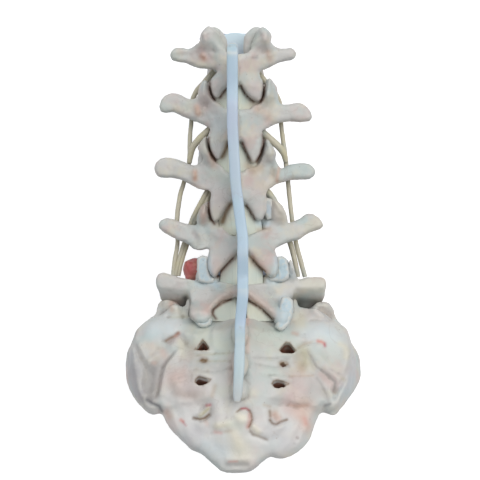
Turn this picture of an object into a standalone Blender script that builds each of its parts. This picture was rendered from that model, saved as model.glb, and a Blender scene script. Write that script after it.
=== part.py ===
# Lumbar spine teaching model: five vertebrae on their sacrum, with discs, ligaments and nerve roots.
#
# The model lies face down, as it comes to rest on a table: +X is the right of someone who looks
# at its back, +Y runs to the head end and +Z points up, out of its back. The origin is on the
# table under the middle of the bounding box.
#
# Every bone is modelled in a frame of its own, (x, c, p): x to the side, c towards the head
# (cranial) and p towards the back (posterior). All sizes below are in millimetres.

import math
from collections import namedtuple

import bmesh
import bpy
from mathutils import Matrix, Vector

MM = 0.001

# Fit between neighbouring pieces
GAP = 0.35                   # between two pieces that touch on the real model
LOOSE_GAP = 0.95             # round a bone, for a soft piece that is moulded against it
PADDED_FACET_GAP = 2.0       # between the two bones of a facet joint, cartilage included
BARE_FACET_GAP = 0.9         # the same where no cartilage shows

# Vertebrae. tilt is how far the head end leans forwards, in degrees.
Level = namedtuple("Level", "name tilt side height width depth wedge disc_above sap_reach sap_top "
                            "isthmus iap_reach iap_tip lamina_low left_tp right_tp spine_side spine_back")
Transverse = namedtuple("Transverse", "reach rise tall thick")
LEVELS = (
    Level("l5", 17.0, 0.0, 27.2, 49, 34.0, 6, 10.0, 24.0, 17, 22.0, 21.6, -21, -7.0,
          Transverse(49.2, 5.2, 8.0, 5.6), Transverse(49.2, 4.4, 7.6, 5.6), 0.6, 55.0),
    Level("l4", 7.5, 0.2, 27.8, 46, 33.5, 2, 9.4, 20.0, 21, 18.5, 16.6, -25, -13.5,
          Transverse(48.0, 4.2, 6.8, 3.6), Transverse(48.0, 6.8, 6.6, 3.6), 0.4, 60.0),
    Level("l3", 1.5, -2.8, 27.8, 44, 33.0, 1, 8.4, 18.0, 21, 16.4, 12.8, -25.5, -14.5,
          Transverse(47.2, 5.2, 6.8, 3.5), Transverse(45.6, 3.0, 6.6, 3.5), -0.4, 61.0),
    Level("l2", -3.2, -3.0, 27.2, 42, 32.0, 0, 7.9, 18.0, 21, 15.0, 10.6, -25.5, -15.0,
          Transverse(45.0, 7.8, 6.8, 3.3), Transverse(44.0, 3.2, 6.0, 3.3), -1.9, 61.0),
    Level("l1", -9.7, -3.6, 26.2, 40, 31.0, 0, 4.4, 15.0, 19.6, 12.0, 10.8, -22.5, -14.0,
          Transverse(37.6, 4.2, 4.4, 3.1), Transverse(36.2, 4.6, 4.2, 3.1), -1.3, 60.0),
)
LOWEST_DISC = 10.0           # height of the disc between L5 and the sacrum, at its middle
DISC_BULGE = 2.2             # how far a disc stands out at each side of its two bodies
BODY_WAIST = 0.16            # how much narrower a body is at its middle, as a share

# Arch of a vertebra, the same on every level
PEDICLE_SIDE = 15.5
PEDICLE_RISE = 5.5
PEDICLE_HALF_WIDTH = 4.6
PEDICLE_HALF_HEIGHT = 7.2
ARCH_BACK = 31.0             # p of the pillar that carries the joint processes
CANAL_BACK = 39.5            # p of the middle of the lamina, behind the canal
LAMINA_TOP = 4.6             # c of the upper edge of the lamina
LAMINA_HALF_THICKNESS = 3.2
SPINE_HALF_THICKNESS = 2.5

# Facet joints, as placed on the lower bone of each pair
FACET_BACK = 34.8            # p of the middle of the joint
FACET_TURN = 22.0            # degrees between the joint and the middle plane
FACET_INSET = 2.6            # how far the joint lies inside the tip of the upper joint process
FACET_HALF_HEIGHT = 7.5
FACET_HALF_WIDTH = 5.2
CARTILAGE_THICKNESS = 1.0
# Joints with a piece of cartilage in them, by the lower bone and the side
PADDED_FACETS = ("l4_right", "l5_left", "l5_right", "sacrum_left", "sacrum_right")

# Sacrum, in the frame of its own end plate
SACRUM_TILT = 41.0
SACRUM_LENGTH = 83.5
SACRUM_HALF_WIDTH = 68.0
SACRUM_BODY_WIDTH = 51.0
SACRUM_BODY_DEPTH = 33.0
# c, half width as a share of the widest, then p: front in the middle and of the wing, side edge,
# crease behind the side face, hollow of the wing, side ridge, beside the crest and in the middle
SACRUM_SECTIONS = (
    (7, 0.60, 19, 17, 21, 25, 28, 28, 24, 22), (2, 0.80, 18.5, 13, 15, 24, 29, 28.5, 26, 23),
    (-0.8, 0.86, 18.5, 8, 12, 25, 29, 28.5, 27, 25), (-2.4, 0.90, 5, 2, 9, 25.5, 29, 29, 28, 28),
    (-7, 0.97, -2, -4, 4, 25.5, 28.5, 29.5, 31, 35), (-16, 1.00, -4, -4, 1, 25, 26.5, 29, 33.5, 39),
    (-28, 0.985, -2, 0, 2, 23, 22.5, 27, 32, 37), (-40, 0.93, 1, 3, 5, 19, 19, 24.5, 30, 33.5),
    (-48, 0.86, 3, 5, 8, 17, 18, 22, 27.5, 30.5), (-51, 0.78, 3.5, 6, 9, 17, 18, 21.5, 26.5, 29),
    (-52.4, 0.62, 4, 7, 10, 16, 18, 20.5, 26, 28), (-63, 0.555, 4.5, 7, 9, 14.5, 16.5, 18.5, 21.5, 22.5),
    (-71, 0.465, 4, 6, 8, 12, 13.5, 14.5, 16, 17), (-77, 0.33, 2.5, 4.5, 7, 9.5, 11, 11.5, 12, 12.5),
    (-80, 0.22, 2, 4, 6.5, 8.5, 10, 10.5, 11, 11),
)
# Where those depths lie, as shares of the half width, on the front and from the edge round the back
FRONT_SHARES = (0.30, 0.62, 0.97)
BACK_SHARES = (1.0, 0.86, 0.72, 0.52, 0.28)
# c, width and depth as shares of the end plate, and p of the middle, down the fused bodies
SACRAL_BODIES = ((0, 0.94, 0.94, 0), (-1.6, 1.0, 1.0, 0), (-5, 0.98, 0.98, 0), (-16, 0.86, 0.78, 0),
                 (-30, 0.80, 0.66, 1.5), (-45, 0.6, 0.5, 4), (-60, 0.5, 0.4, 6))
APEX_HALF_WIDTH = 8.0
APEX_FRONT = 2.0
APEX_BACK = 9.5
# c, p, half width and half depth of the canal through the sacrum
SACRAL_CANAL = ((14, 25, 15, 9), (-8, 26, 12, 6.5), (-25, 23, 10, 5), (-42, 20.5, 8, 4),
                (-54, 19, 5.5, 3.6), (-60, 19.5, 4.2, 4.2), (-66, 21.5, 3, 4))
# x, c, half width and half height of each hole in the back of the sacrum
FORAMINA = ((-21.4, -24, 4.2, 3.6), (24.0, -25, 4.3, 3.6), (-20.2, -43.0, 3.9, 2.9),
            (19.8, -44.3, 3.9, 2.7), (-19.6, -58.0, 3.9, 3.8), (18.2, -59.6, 3.3, 3.8))
FRONT_FORAMEN_RADIUS = 4.6
FORAMEN_BACK_DEPTH = 18.0    # from the canal to the back end of the drill
FORAMEN_FRONT_DEPTH = 38.0
CREST_KNOBS = ((-20, 40, 8), (-37, 36.5, 7), (-49, 31, 5.5))  # c, p and half length
WING_KNOB = (41, 5, 22)      # x, c and p of the knob on top of a wing
WING_KNOB_RADII = (8.5, 8.5, 7)
HORN = (8.2, -64.5, 21)      # beside the lower mouth of the canal
HORN_RADII = (4.2, 4.6, 3.4)
SACRAL_FACET_OUT = 6.5       # from the lower joint process of L5 to the upper one of the sacrum

# Ligaments
STRAP_HALF_WIDTH = 2.95
STRAP_HALF_THICKNESS = 1.1
CREST_SIDE = -0.8            # how far the crest of the sacrum stands off the middle
STRAP_END = -57.0            # c of its pointed end, on the sacrum
FRONT_BAND_HALF_WIDTH = 13.0
FRONT_BAND_THICKNESS = 1.8
FRONT_BAND_END = -24.0       # c of its lower end, on the front of the sacrum
FRONT_REST = "l4"            # the bone over the disc whose front lies on the table
BACK_BAND_HALF_WIDTH = 8.0
BACK_BAND_TOP = 9.4          # half width at its upper end, where it shows over L1
BACK_BAND_END = 5.0          # c of its lower end, over the end plate of the sacrum
BACK_BAND_THICKNESS = 1.2
FLAVUM_HALF_WIDTH = 5.4
FLAVUM_THICKNESS = 2.0

# Nerves
DURAL_SAC_RADIUS = 5.5
ROOT_RADIUS = 1.9

# Prolapsed disc
PROLAPSE_OUT = 3.0           # from the side of L5 to its middle
PROLAPSE_RISE = 3.0
PROLAPSE_BACK = 12.0

# Fineness of the bones
VOXEL = 1.25
SMOOTH_STEPS = 3
FACET_VOXEL = 0.9
FLAVUM_VOXEL = 0.6
LUMP_VOXEL = 0.8
SLIVER = 0.02
VERTEBRA_TRIANGLES = 1150
SACRUM_TRIANGLES = 2500
FLAVUM_TRIANGLES = 150
PROLAPSE_TRIANGLES = 220

LEFT, RIGHT = -1, 1
SIDES = ((LEFT, "left"), (RIGHT, "right"))
CRANIAL, POSTERIOR, SIDEWAYS = Vector((0, 1, 0)), Vector((0, 0, 1)), Vector((1, 0, 0))


# Scene and collections

def clear_scene():
    for obj in list(bpy.data.objects):
        bpy.data.objects.remove(obj, do_unlink=True)


def new_collection(name):
    collection = bpy.data.collections.new(name)
    bpy.context.scene.collection.children.link(collection)
    return collection


def new_material(name, colour, roughness):
    material = bpy.data.materials.new(name)
    material.use_nodes = True
    shader = material.node_tree.nodes["Principled BSDF"]
    shader.inputs["Base Color"].default_value = (*colour, 1)
    shader.inputs["Roughness"].default_value = roughness
    material.diffuse_color = (*colour, 1)
    return material


def finish(bm, name, material, matrix=None, collection=None):
    """Turns the mesh, drawn in millimetres, into a named object that hangs on the rest empty."""
    bmesh.ops.recalc_face_normals(bm, faces=bm.faces)
    bmesh.ops.transform(bm, matrix=Matrix.Scale(MM, 4), verts=bm.verts)
    mesh = bpy.data.meshes.new(name)
    bm.to_mesh(mesh)
    bm.free()
    mesh.materials.append(material)
    obj = bpy.data.objects.new(name, mesh)
    (collection or parts).objects.link(obj)
    obj.parent = rest
    if matrix is not None:
        place = matrix.copy()
        place.translation = matrix.translation * MM
        obj.matrix_local = place
    return obj


# Lofts

def loft(bm, rings):
    """Closed solid through rings of as many points each, with flat ends."""
    loops = [[bm.verts.new(point) for point in ring] for ring in rings]
    faces = [bm.faces.new(loops[0]), bm.faces.new(loops[-1])]
    for lower, upper in zip(loops, loops[1:]):
        for i, corner in enumerate(lower):
            j = (i + 1) % len(lower)
            faces.append(bm.faces.new((corner, lower[j], upper[j], upper[i])))
    bmesh.ops.recalc_face_normals(bm, faces=faces)


def limb(bm, stations, upright, sides=12):
    """Bony limb through (centre, half thickness, half height) stations, with rounded ends."""
    centres = [Vector(station[0]) for station in stations]
    rings = []
    for i, (centre, (_, thick, tall)) in enumerate(zip(centres, stations)):
        along = (centres[min(i + 1, len(centres) - 1)] - centres[max(i - 1, 0)]).normalized()
        height = (upright - along * upright.dot(along)).normalized()
        width = along.cross(height)
        turns = [math.tau * k / sides for k in range(sides)]
        ring = [width * thick * math.cos(a) + height * tall * math.sin(a) for a in turns]
        end = -1 if i == 0 else 1 if i == len(centres) - 1 else 0
        full = [centre + point for point in ring]
        tip = [centre + along * end * 0.6 * min(thick, tall) + point * 0.55 for point in ring]
        rings += [tip, full] if end < 0 else [full, tip] if end > 0 else [full]
    loft(bm, rings)


def bump(bm, centre, radii, turn=None):
    """Rounded swelling: an ellipsoid."""
    matrix = Matrix.Translation(centre) @ (turn or Matrix()) @ Matrix.Diagonal((*radii, 1))
    bmesh.ops.create_uvsphere(bm, u_segments=14, v_segments=8, radius=1, matrix=matrix)


def body_outline(width, depth, count=36, flat_front=2.5):
    """Kidney outline of a vertebral body in (x, p): full at the front, hollow at the back."""
    outline = []
    for k in range(count):
        turn = math.tau * k / count
        cosine, sine = math.cos(turn), math.sin(turn)
        x = width / 2 * math.copysign(abs(cosine) ** (2 / flat_front), cosine)
        p = depth / 2 * math.copysign(abs(sine) ** (2 / flat_front), sine)
        if p > 0:
            p -= 2.4 * math.exp(-(x / (width / 5)) ** 2)
        outline.append((x, p))
    return outline


# Bones: one skin over all limbs, thinned to few faces

def evaluated_mesh(obj):
    bpy.context.view_layer.update()
    graph = bpy.context.evaluated_depsgraph_get()
    return bpy.data.meshes.new_from_object(obj.evaluated_get(graph))


def apply_modifiers(obj):
    mesh = evaluated_mesh(obj)
    obj.modifiers.clear()
    obj.data = mesh


def keep_largest_piece(obj):
    bm = bmesh.new()
    bm.from_mesh(obj.data)
    unseen, pieces = set(bm.verts), []
    while unseen:
        stack, piece = [unseen.pop()], []
        while stack:
            vert = stack.pop()
            piece.append(vert)
            for edge in vert.link_edges:
                other = edge.other_vert(vert)
                if other in unseen:
                    unseen.remove(other)
                    stack.append(other)
        pieces.append(piece)
    pieces.sort(key=len)
    bmesh.ops.delete(bm, geom=[vert for piece in pieces[:-1] for vert in piece], context="VERTS")
    bm.to_mesh(obj.data)
    bm.free()


def skin(obj, voxel=VOXEL, smooth_steps=SMOOTH_STEPS):
    """Joins overlapping limbs into one smooth closed surface."""
    remesh = obj.modifiers.new("Skin", "REMESH")
    remesh.mode = "VOXEL"
    remesh.voxel_size = voxel * MM
    smooth = obj.modifiers.new("Smooth", "SMOOTH")
    smooth.iterations = smooth_steps
    apply_modifiers(obj)
    keep_largest_piece(obj)


def thin(obj, triangles):
    decimate = obj.modifiers.new("Thin", "DECIMATE")
    decimate.use_collapse_triangulate = True
    count = sum(len(face.vertices) - 2 for face in obj.data.polygons)
    decimate.ratio = min(1.0, triangles / count)
    apply_modifiers(obj)


def cut(obj, cutter):
    boolean = obj.modifiers.new("Cut", "BOOLEAN")
    boolean.object = cutter
    boolean.operation = "DIFFERENCE"
    boolean.solver = "EXACT"
    apply_modifiers(obj)
    keep_largest_piece(obj)
    heal(obj)


def heal(obj):
    """Merges the hair-thin slivers that a cut can leave."""
    bm = bmesh.new()
    bm.from_mesh(obj.data)
    bmesh.ops.triangulate(bm, faces=bm.faces)
    bmesh.ops.dissolve_degenerate(bm, edges=bm.edges, dist=SLIVER * MM)
    bmesh.ops.triangulate(bm, faces=bm.faces)
    bm.to_mesh(obj.data)
    bm.free()


def as_cutter(bm, name, matrix=None):
    cutter = finish(bm, name, cutter_material, matrix, cutters)
    cutter.hide_render = True
    cutter.display_type = "WIRE"
    return cutter


def grown(obj, gap):
    """Cutter in the shape of a neighbour, swollen by the gap that is to be left round it."""
    bm = bmesh.new()
    bm.from_mesh(obj.data)
    bm.normal_update()
    for vert in bm.verts:
        vert.co += vert.normal * gap * MM
    mesh = bpy.data.meshes.new(obj.name + "_room")
    bm.to_mesh(mesh)
    bm.free()
    cutter = bpy.data.objects.new(obj.name + "_room", mesh)
    cutters.objects.link(cutter)
    cutter.parent = rest
    cutter.matrix_local = obj.matrix_local
    cutter.hide_render = True
    cutter.display_type = "WIRE"
    return cutter


# Where each bone lies in the spine: the stack is built up from the sacrum

def tilted(angle):
    return Matrix.Rotation(-math.radians(angle), 4, "X")


def stack_levels():
    poses, top, below = {}, Vector((0, 0, 0)), SACRUM_TILT
    gap = LOWEST_DISC
    for level in LEVELS:
        top += tilted((below + level.tilt) / 2) @ Vector((0, gap, 0))
        middle = top + tilted(level.tilt) @ Vector((0, level.height / 2, 0))
        top = top + tilted(level.tilt) @ Vector((0, level.height, 0))
        poses[level.name] = Matrix.Translation(middle + Vector((level.side, 0, 0))) @ tilted(level.tilt)
        below, gap = level.tilt, level.disc_above
    return poses


def end_height(level, p, upper):
    """c of a body's upper or lower end at depth p: the lower one may be wedged."""
    if upper:
        return level.height / 2
    return -level.height / 2 + p * math.tan(math.radians(level.wedge))


# Vertebrae

def vertebral_body(bm, level):
    waist = BODY_WAIST
    profile = ((0.0, 0.94), (0.06, 1.0), (0.18, 1 - 0.35 * waist), (0.34, 1 - 0.85 * waist),
               (0.5, 1 - waist), (0.66, 1 - 0.85 * waist), (0.82, 1 - 0.35 * waist), (0.94, 1.0),
               (1.0, 0.94))
    rings = []
    for share, scale in profile:
        ring = []
        for x, p in body_outline(level.width * scale, level.depth * (1 + scale) / 2):
            low, high = end_height(level, p, False), end_height(level, p, True)
            ring.append((x, low + (high - low) * share, p))
        rings.append(ring)
    loft(bm, rings)


def transverse_process(bm, level, side, process):
    root = PEDICLE_SIDE + 2
    middle = (root + process.reach) / 2
    start = PEDICLE_RISE - 1.5
    thick, tall = process.thick, process.tall
    neck = 0.78 if thick < 4 else 0.95
    stations = ((root, start, thick + 1.2, 7.0), (root + 6, start, thick + 0.4, tall * 1.05),
                (middle, (start + process.rise) / 2, thick, tall * neck),
                (process.reach - 7, process.rise, thick, tall),
                (process.reach - 1.8, process.rise, thick * 0.8, tall * 0.72))
    limb(bm, [((side * x, c, ARCH_BACK - 3), half_thick, half_tall)
              for x, c, half_thick, half_tall in stations], CRANIAL)


def articular_pillar(bm, level, side):
    """Pillar behind a pedicle, with the joint processes that rise and hang from it."""
    limb(bm, (((side * PEDICLE_SIDE, PEDICLE_RISE, level.depth / 2 - 7), PEDICLE_HALF_WIDTH, PEDICLE_HALF_HEIGHT),
              ((side * PEDICLE_SIDE, PEDICLE_RISE, ARCH_BACK - 8), PEDICLE_HALF_WIDTH, PEDICLE_HALF_HEIGHT),
              ((side * (PEDICLE_SIDE + 0.5), PEDICLE_RISE - 1, ARCH_BACK), 5.6, PEDICLE_HALF_HEIGHT)), CRANIAL)
    # Upper joint process, with the swelling behind it
    sap = side * level.sap_reach
    limb(bm, (((side * PEDICLE_SIDE, 1, ARCH_BACK + 1), 5.8, 5.0),
              ((sap + side * 1.4, level.sap_top * 0.5, ARCH_BACK + 3.4), 6.2, 5.0),
              ((sap + side * 0.6, level.sap_top - 4.5, ARCH_BACK + 4), 5.0, 4.2),
              ((sap, level.sap_top - 1.4, ARCH_BACK + 4), 2.8, 3.0)), POSTERIOR)
    bump(bm, (sap + side * 3.6, level.sap_top * 0.55, ARCH_BACK + 6.2), (3.6, 5.0, 3.4))
    # Lower joint process, down to its pointed tip
    iap = side * level.iap_reach
    neck = side * (level.isthmus - 5.4)
    limb(bm, (((side * (level.isthmus - 3), 5, ARCH_BACK + 2), 6.0, 4.6),
              ((neck, -5.5, ARCH_BACK + 5), 5.6, 4.0),
              ((iap + side * 0.8, level.iap_tip * 0.6, ARCH_BACK + 6.8), 5.6, 3.9),
              ((iap, level.iap_tip + 1.6, ARCH_BACK + 7), 1.8, 2.2)), POSTERIOR)
    # Bony web from the lower joint process up to the middle line
    limb(bm, (((iap - side * 1.5, level.iap_tip * 0.55, ARCH_BACK + 7), 3.0, 4.6),
              ((0, level.lamina_low + 4.6, CANAL_BACK), 3.4, 4.6)), CRANIAL)


def arch(bm, level, side):
    """Half of the lamina, from the pillar to the middle line."""
    middle = (LAMINA_TOP + level.lamina_low) / 2
    half = (LAMINA_TOP - level.lamina_low) / 2
    limb(bm, (((side * (PEDICLE_SIDE - 1), middle + 2.5, ARCH_BACK + 3), LAMINA_HALF_THICKNESS, half),
              ((side * 8, middle + 0.5, CANAL_BACK - 2.2), LAMINA_HALF_THICKNESS, half),
              ((0, middle - 1.2, CANAL_BACK + 0.5), LAMINA_HALF_THICKNESS + 0.4, half - 1.2)), CRANIAL)
    # Accessory process, a small knob at the root of the transverse process
    bump(bm, (side * (PEDICLE_SIDE + 7), 1.0, ARCH_BACK + 1.5), (2.8, 3.8, 2.8))


def spinous_process(bm, level):
    """Hatchet shaped plate; its tip leans to one side on a spine that isn't quite straight."""
    tip = level.spine_side
    half = spine_half(level)
    limb(bm, (((0, spine_middle(level), CANAL_BACK), SPINE_HALF_THICKNESS + 0.8, half),
              ((tip * 0.5, spine_middle(level) - 0.5, (CANAL_BACK + level.spine_back) / 2),
               SPINE_HALF_THICKNESS * 0.9, half * 0.92),
              ((tip, spine_middle(level) - 1, level.spine_back - 1.3), SPINE_HALF_THICKNESS, half)), CRANIAL)


def spine_middle(level):
    return (LAMINA_TOP + level.lamina_low) / 2


def spine_half(level):
    return (LAMINA_TOP - level.lamina_low) / 2 - 0.3


def vertebra(level):
    bm = bmesh.new()
    vertebral_body(bm, level)
    for side, word in SIDES:
        articular_pillar(bm, level, side)
        arch(bm, level, side)
        transverse_process(bm, level, side, level.left_tp if side == LEFT else level.right_tp)
    spinous_process(bm, level)
    bone = finish(bm, "vertebra_" + level.name, bone_material, poses[level.name])
    skin(bone)
    return bone


# Sacrum

def sacral_section(c, share, front, front_wing, edge, crease, hollow, ridge, back_side, back):
    """Outline of the sacrum across its length, in the frame of its end plate."""
    half = SACRUM_HALF_WIDTH * share
    right = list(zip(FRONT_SHARES, (front, front_wing, edge - 2)))
    right += zip(BACK_SHARES, (edge, crease, hollow, ridge, back_side))
    ring = [Vector((0, c, front))]
    ring += [Vector((half * x, c, p)) for x, p in right]
    ring += [Vector((0, c, back))]
    ring += [Vector((-half * x, c, p)) for x, p in reversed(right)]
    return ring


def sacrum_limbs(bm):
    sections = [sacral_section(*section) for section in SACRUM_SECTIONS]
    middle = (APEX_FRONT + APEX_BACK) / 2
    sections.append(sacral_section(-SACRUM_LENGTH, APEX_HALF_WIDTH / SACRUM_HALF_WIDTH, APEX_FRONT,
                                   APEX_FRONT, middle, *(APEX_BACK,) * 5))
    loft(bm, sections)
    # The fused bodies, from the end plate down
    loft(bm, [[(x, c, q + p) for x, q in body_outline(SACRUM_BODY_WIDTH * width, SACRUM_BODY_DEPTH * depth)]
              for c, width, depth, p in SACRAL_BODIES])
    lowest = LEVELS[0]
    for side, word in SIDES:
        # Upper joint process, beside and in front of the lower process of L5
        sap = side * (lowest.iap_reach + SACRAL_FACET_OUT)
        limb(bm, (((sap, -12, 26), 6.0, 5.0), ((sap, 0, 29), 5.2, 5.0), ((sap, 9, 31), 3.4, 3.6)), POSTERIOR)
        bump(bm, (side * WING_KNOB[0], *WING_KNOB[1:]), WING_KNOB_RADII)
        bump(bm, (side * HORN[0], *HORN[1:]), HORN_RADII)
    for c, p, length in CREST_KNOBS:
        bump(bm, (CREST_SIDE, c, p), (4.2, length, 5.0))


def sacral_canal():
    bm = bmesh.new()
    rings = []
    for c, p, width, depth in SACRAL_CANAL:
        rings.append([(width * math.cos(a), c, p + depth * math.sin(a))
                      for a in (math.tau * k / 16 for k in range(16))])
    loft(bm, rings)
    return as_cutter(bm, "canal", poses["sacrum"])


def drill(name, start, end, half_width, half_height):
    """Slanting oval cutter between two points in the frame of the sacrum."""
    bm = bmesh.new()
    start, end = Vector(start), Vector(end)
    along = (end - start).normalized()
    wide = CRANIAL.cross(along).normalized()
    tall = along.cross(wide)
    rings = []
    for centre in (start, end):
        rings.append([centre + wide * half_width * math.cos(a) + tall * half_height * math.sin(a)
                      for a in (math.tau * k / 12 for k in range(12))])
    loft(bm, rings)
    return as_cutter(bm, name, poses["sacrum"])


def foramina():
    """Pairs of holes from the back, each meeting a wider one that opens at the front."""
    for index, (x, c, half_width, half_height) in enumerate(FORAMINA):
        canal = 23.5 + (c + 24) * 0.12
        yield drill(f"back_foramen_{index}", (x * 1.05, c, canal + FORAMEN_BACK_DEPTH),
                    (x * 0.95, c + 0.5, canal - 8), half_width, half_height)
        yield drill(f"front_foramen_{index}", (x * 0.85, c + 3, canal - 4),
                    (x * 1.1, c + 5, canal - FORAMEN_FRONT_DEPTH), FRONT_FORAMEN_RADIUS, FRONT_FORAMEN_RADIUS)


def sacrum():
    bm = bmesh.new()
    sacrum_limbs(bm)
    bone = finish(bm, "sacrum", bone_material, poses["sacrum"])
    skin(bone)
    cut(bone, sacral_canal())
    for hole in foramina():
        cut(bone, hole)
    return bone


# Facet joints

def facet_frame(lower, side):
    """Matrix of a joint: its x axis points out of the joint, from the upper bone to the lower."""
    if lower == "sacrum":
        place = poses["sacrum"] @ Matrix.Translation(
            (side * (LEVELS[0].iap_reach + 2.6), -3, FACET_BACK - 3.5))
        turn = FACET_TURN + 18
    else:
        level = next(item for item in LEVELS if item.name == lower)
        place = poses[lower] @ Matrix.Translation(
            (side * (level.sap_reach - FACET_INSET), level.sap_top - 6.5, FACET_BACK))
        turn = FACET_TURN
    # Out of the joint means to the side and, by the turn, to the front
    heading = Matrix.Rotation(math.radians(turn if side == RIGHT else 180 - turn), 4, "Y")
    return place @ heading


def slab(name, matrix, near, far, half_height, half_width):
    """Box cutter between two distances along the joint's x axis."""
    bm = bmesh.new()
    size = Matrix.Diagonal((far - near, 2 * half_height, 2 * half_width, 1))
    bmesh.ops.create_cube(bm, size=1, matrix=Matrix.Translation(((near + far) / 2, 0, 0)) @ size)
    return as_cutter(bm, name, matrix)


def facet_joint(upper, lower, side, word):
    """Parts the two bones of a joint, and lays its cartilage in the gap."""
    matrix = facet_frame(lower, side)
    padded = f"{lower}_{word}" in PADDED_FACETS
    half = (PADDED_FACET_GAP if padded else BARE_FACET_GAP) / 2
    cut(bones[upper], slab(f"room_{lower}_{word}", matrix, -half, 11, 11.5, 11))
    cut(bones[lower], slab(f"seat_{lower}_{word}", matrix, -9, half, 9, 11))
    if not padded:
        return
    bm = bmesh.new()
    disc = matrix @ Matrix.Rotation(math.pi / 2, 4, "Y")
    shape = Matrix.Diagonal((FACET_HALF_WIDTH, FACET_HALF_HEIGHT, 1, 1))
    bmesh.ops.create_cone(bm, cap_ends=True, segments=16, radius1=1, radius2=1,
                          depth=CARTILAGE_THICKNESS, matrix=shape)
    finish(bm, f"facet_cartilage_{upper}_{lower}_{word}", cartilage_material, disc)


# Discs

def disc_ring(level, upper, matrix, scale, lift):
    """Ring round one end of a body, lifted off it along its own axis."""
    ring = []
    for x, p in body_outline(level.width * scale, level.depth * scale):
        c = end_height(level, p, upper) + (lift if upper else -lift)
        ring.append(matrix @ Vector((x, c, p)))
    return ring


def sacral_ring(scale, lift):
    outline = body_outline(SACRUM_BODY_WIDTH * scale, SACRUM_BODY_DEPTH * scale)
    return [poses["sacrum"] @ Vector((x, lift, p)) for x, p in outline]


def disc(name, bottom, top):
    """Disc between two rings, full in the middle of its height."""
    centre = sum(bottom + top, Vector()) / (2 * len(bottom))
    half = max(abs((point - centre).x) for point in bottom)
    rings = [bottom]
    for share in (0.18, 0.5, 0.82):
        ring = [low.lerp(high, share) for low, high in zip(bottom, top)]
        wide = 1.03 + DISC_BULGE / half * (1.0 if share == 0.5 else 0.7)
        rings.append([centre + Vector(((point - centre).x * wide, (point - centre).y,
                                       (point - centre).z * 1.03)) for point in ring])
    rings.append(top)
    bm = bmesh.new()
    loft(bm, rings)
    return finish(bm, name, disc_material)


def make_discs():
    made = {}
    lift = GAP + 0.15
    bottoms = {"sacrum": sacral_ring(0.95, lift)}
    for level in LEVELS:
        bottoms[level.name] = disc_ring(level, True, poses[level.name], 0.95, lift)
    below = "sacrum"
    for level in LEVELS:
        top = disc_ring(level, False, poses[level.name], 0.95, lift)
        made[below] = disc(f"disc_{level.name}_{below}", bottoms[below], top)
        below = level.name
    # The disc over L1 ends flat, where the next vertebra is left off
    first = LEVELS[-1]
    top = disc_ring(first, True, poses[first.name], 0.95, lift + first.disc_above)
    made[below] = disc(f"disc_t12_{first.name}", bottoms[first.name], top)
    return made


def prolapse():
    """Red swelling of the disc between L4 and L5, out of its left back corner."""
    bm = bmesh.new()
    bump(bm, (0, 0, 0), (7.0, 7.0, 6.6))
    bump(bm, (3.5, -1, -4.0), (6.0, 5.0, 5.5))
    low, high = poses["l5"], poses["l4"]
    level = LEVELS[0]
    middle = (low @ Vector((0, level.height / 2, 0)) + high @ Vector((0, -LEVELS[1].height / 2, 0))) / 2
    place = Matrix.Translation(
        middle + Vector((-level.width / 2 - PROLAPSE_OUT, PROLAPSE_RISE, PROLAPSE_BACK)))
    lump = finish(bm, "prolapse_l4_l5", prolapse_material, place)
    skin(lump, LUMP_VOXEL, 2)
    for room in (rooms["l4"], rooms["l5"], grown(discs["l5"], LOOSE_GAP)):
        cut(lump, room)
    skin(lump, LUMP_VOXEL, 2)
    thin(lump, PROLAPSE_TRIANGLES)
    return lump


# Ligaments

def band(name, path, half_widths, half_thickness, material):
    """Flat strap along points with a half width each, its flat side facing the back."""
    rings = []
    for i, (point, half) in enumerate(zip(path, half_widths)):
        along = (path[min(i + 1, len(path) - 1)] - path[max(i - 1, 0)]).normalized()
        out = SIDEWAYS.cross(along).normalized()
        shape = ((-1, -0.45), (-0.78, -1), (0.78, -1), (1, -0.45), (1, 0.45), (0.78, 1), (-0.78, 1), (-1, 0.45))
        rings.append([point + SIDEWAYS * half * u + out * half_thickness * v for u, v in shape])
    bm = bmesh.new()
    loft(bm, rings)
    return finish(bm, name, material)


def supraspinous_ligament():
    """Strap over the tips of the spinous processes and down the crest of the sacrum."""
    lift = GAP + STRAP_HALF_THICKNESS + 0.25
    path, halves = [], []
    side = {level.name: level.side + level.spine_side for level in LEVELS}
    order = [level.name for level in reversed(LEVELS)]
    for index, level in enumerate(reversed(LEVELS)):
        middle, half = spine_middle(level) - 1, spine_half(level)
        for share, other in ((1, order[max(index - 1, 0)]), (0, level.name), (-1, order[min(index + 1, 4)])):
            drift = (side[other] - side[level.name]) * 0.3
            path.append(poses[level.name] @ Vector(
                (level.spine_side + drift, middle + half * share, level.spine_back + lift)))
            halves.append(STRAP_HALF_WIDTH)
    path[0] = path[0] + poses["l1"].to_3x3() @ Vector((0, 2.5, 0))
    halves[0] = STRAP_HALF_WIDTH * 0.9
    for c, p, share in ((-20, 45.0, 0.95), (-30, 43.5, 0.92), (-41, 40.0, 0.95), (-50, 35.5, 0.85),
                        (STRAP_END, 30.5, 0.5)):
        path.append(poses["sacrum"] @ Vector((CREST_SIDE, c, p + lift)))
        halves.append(STRAP_HALF_WIDTH * share)
    return band("supraspinous_ligament", path, halves, STRAP_HALF_THICKNESS, ligament_material)


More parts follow.
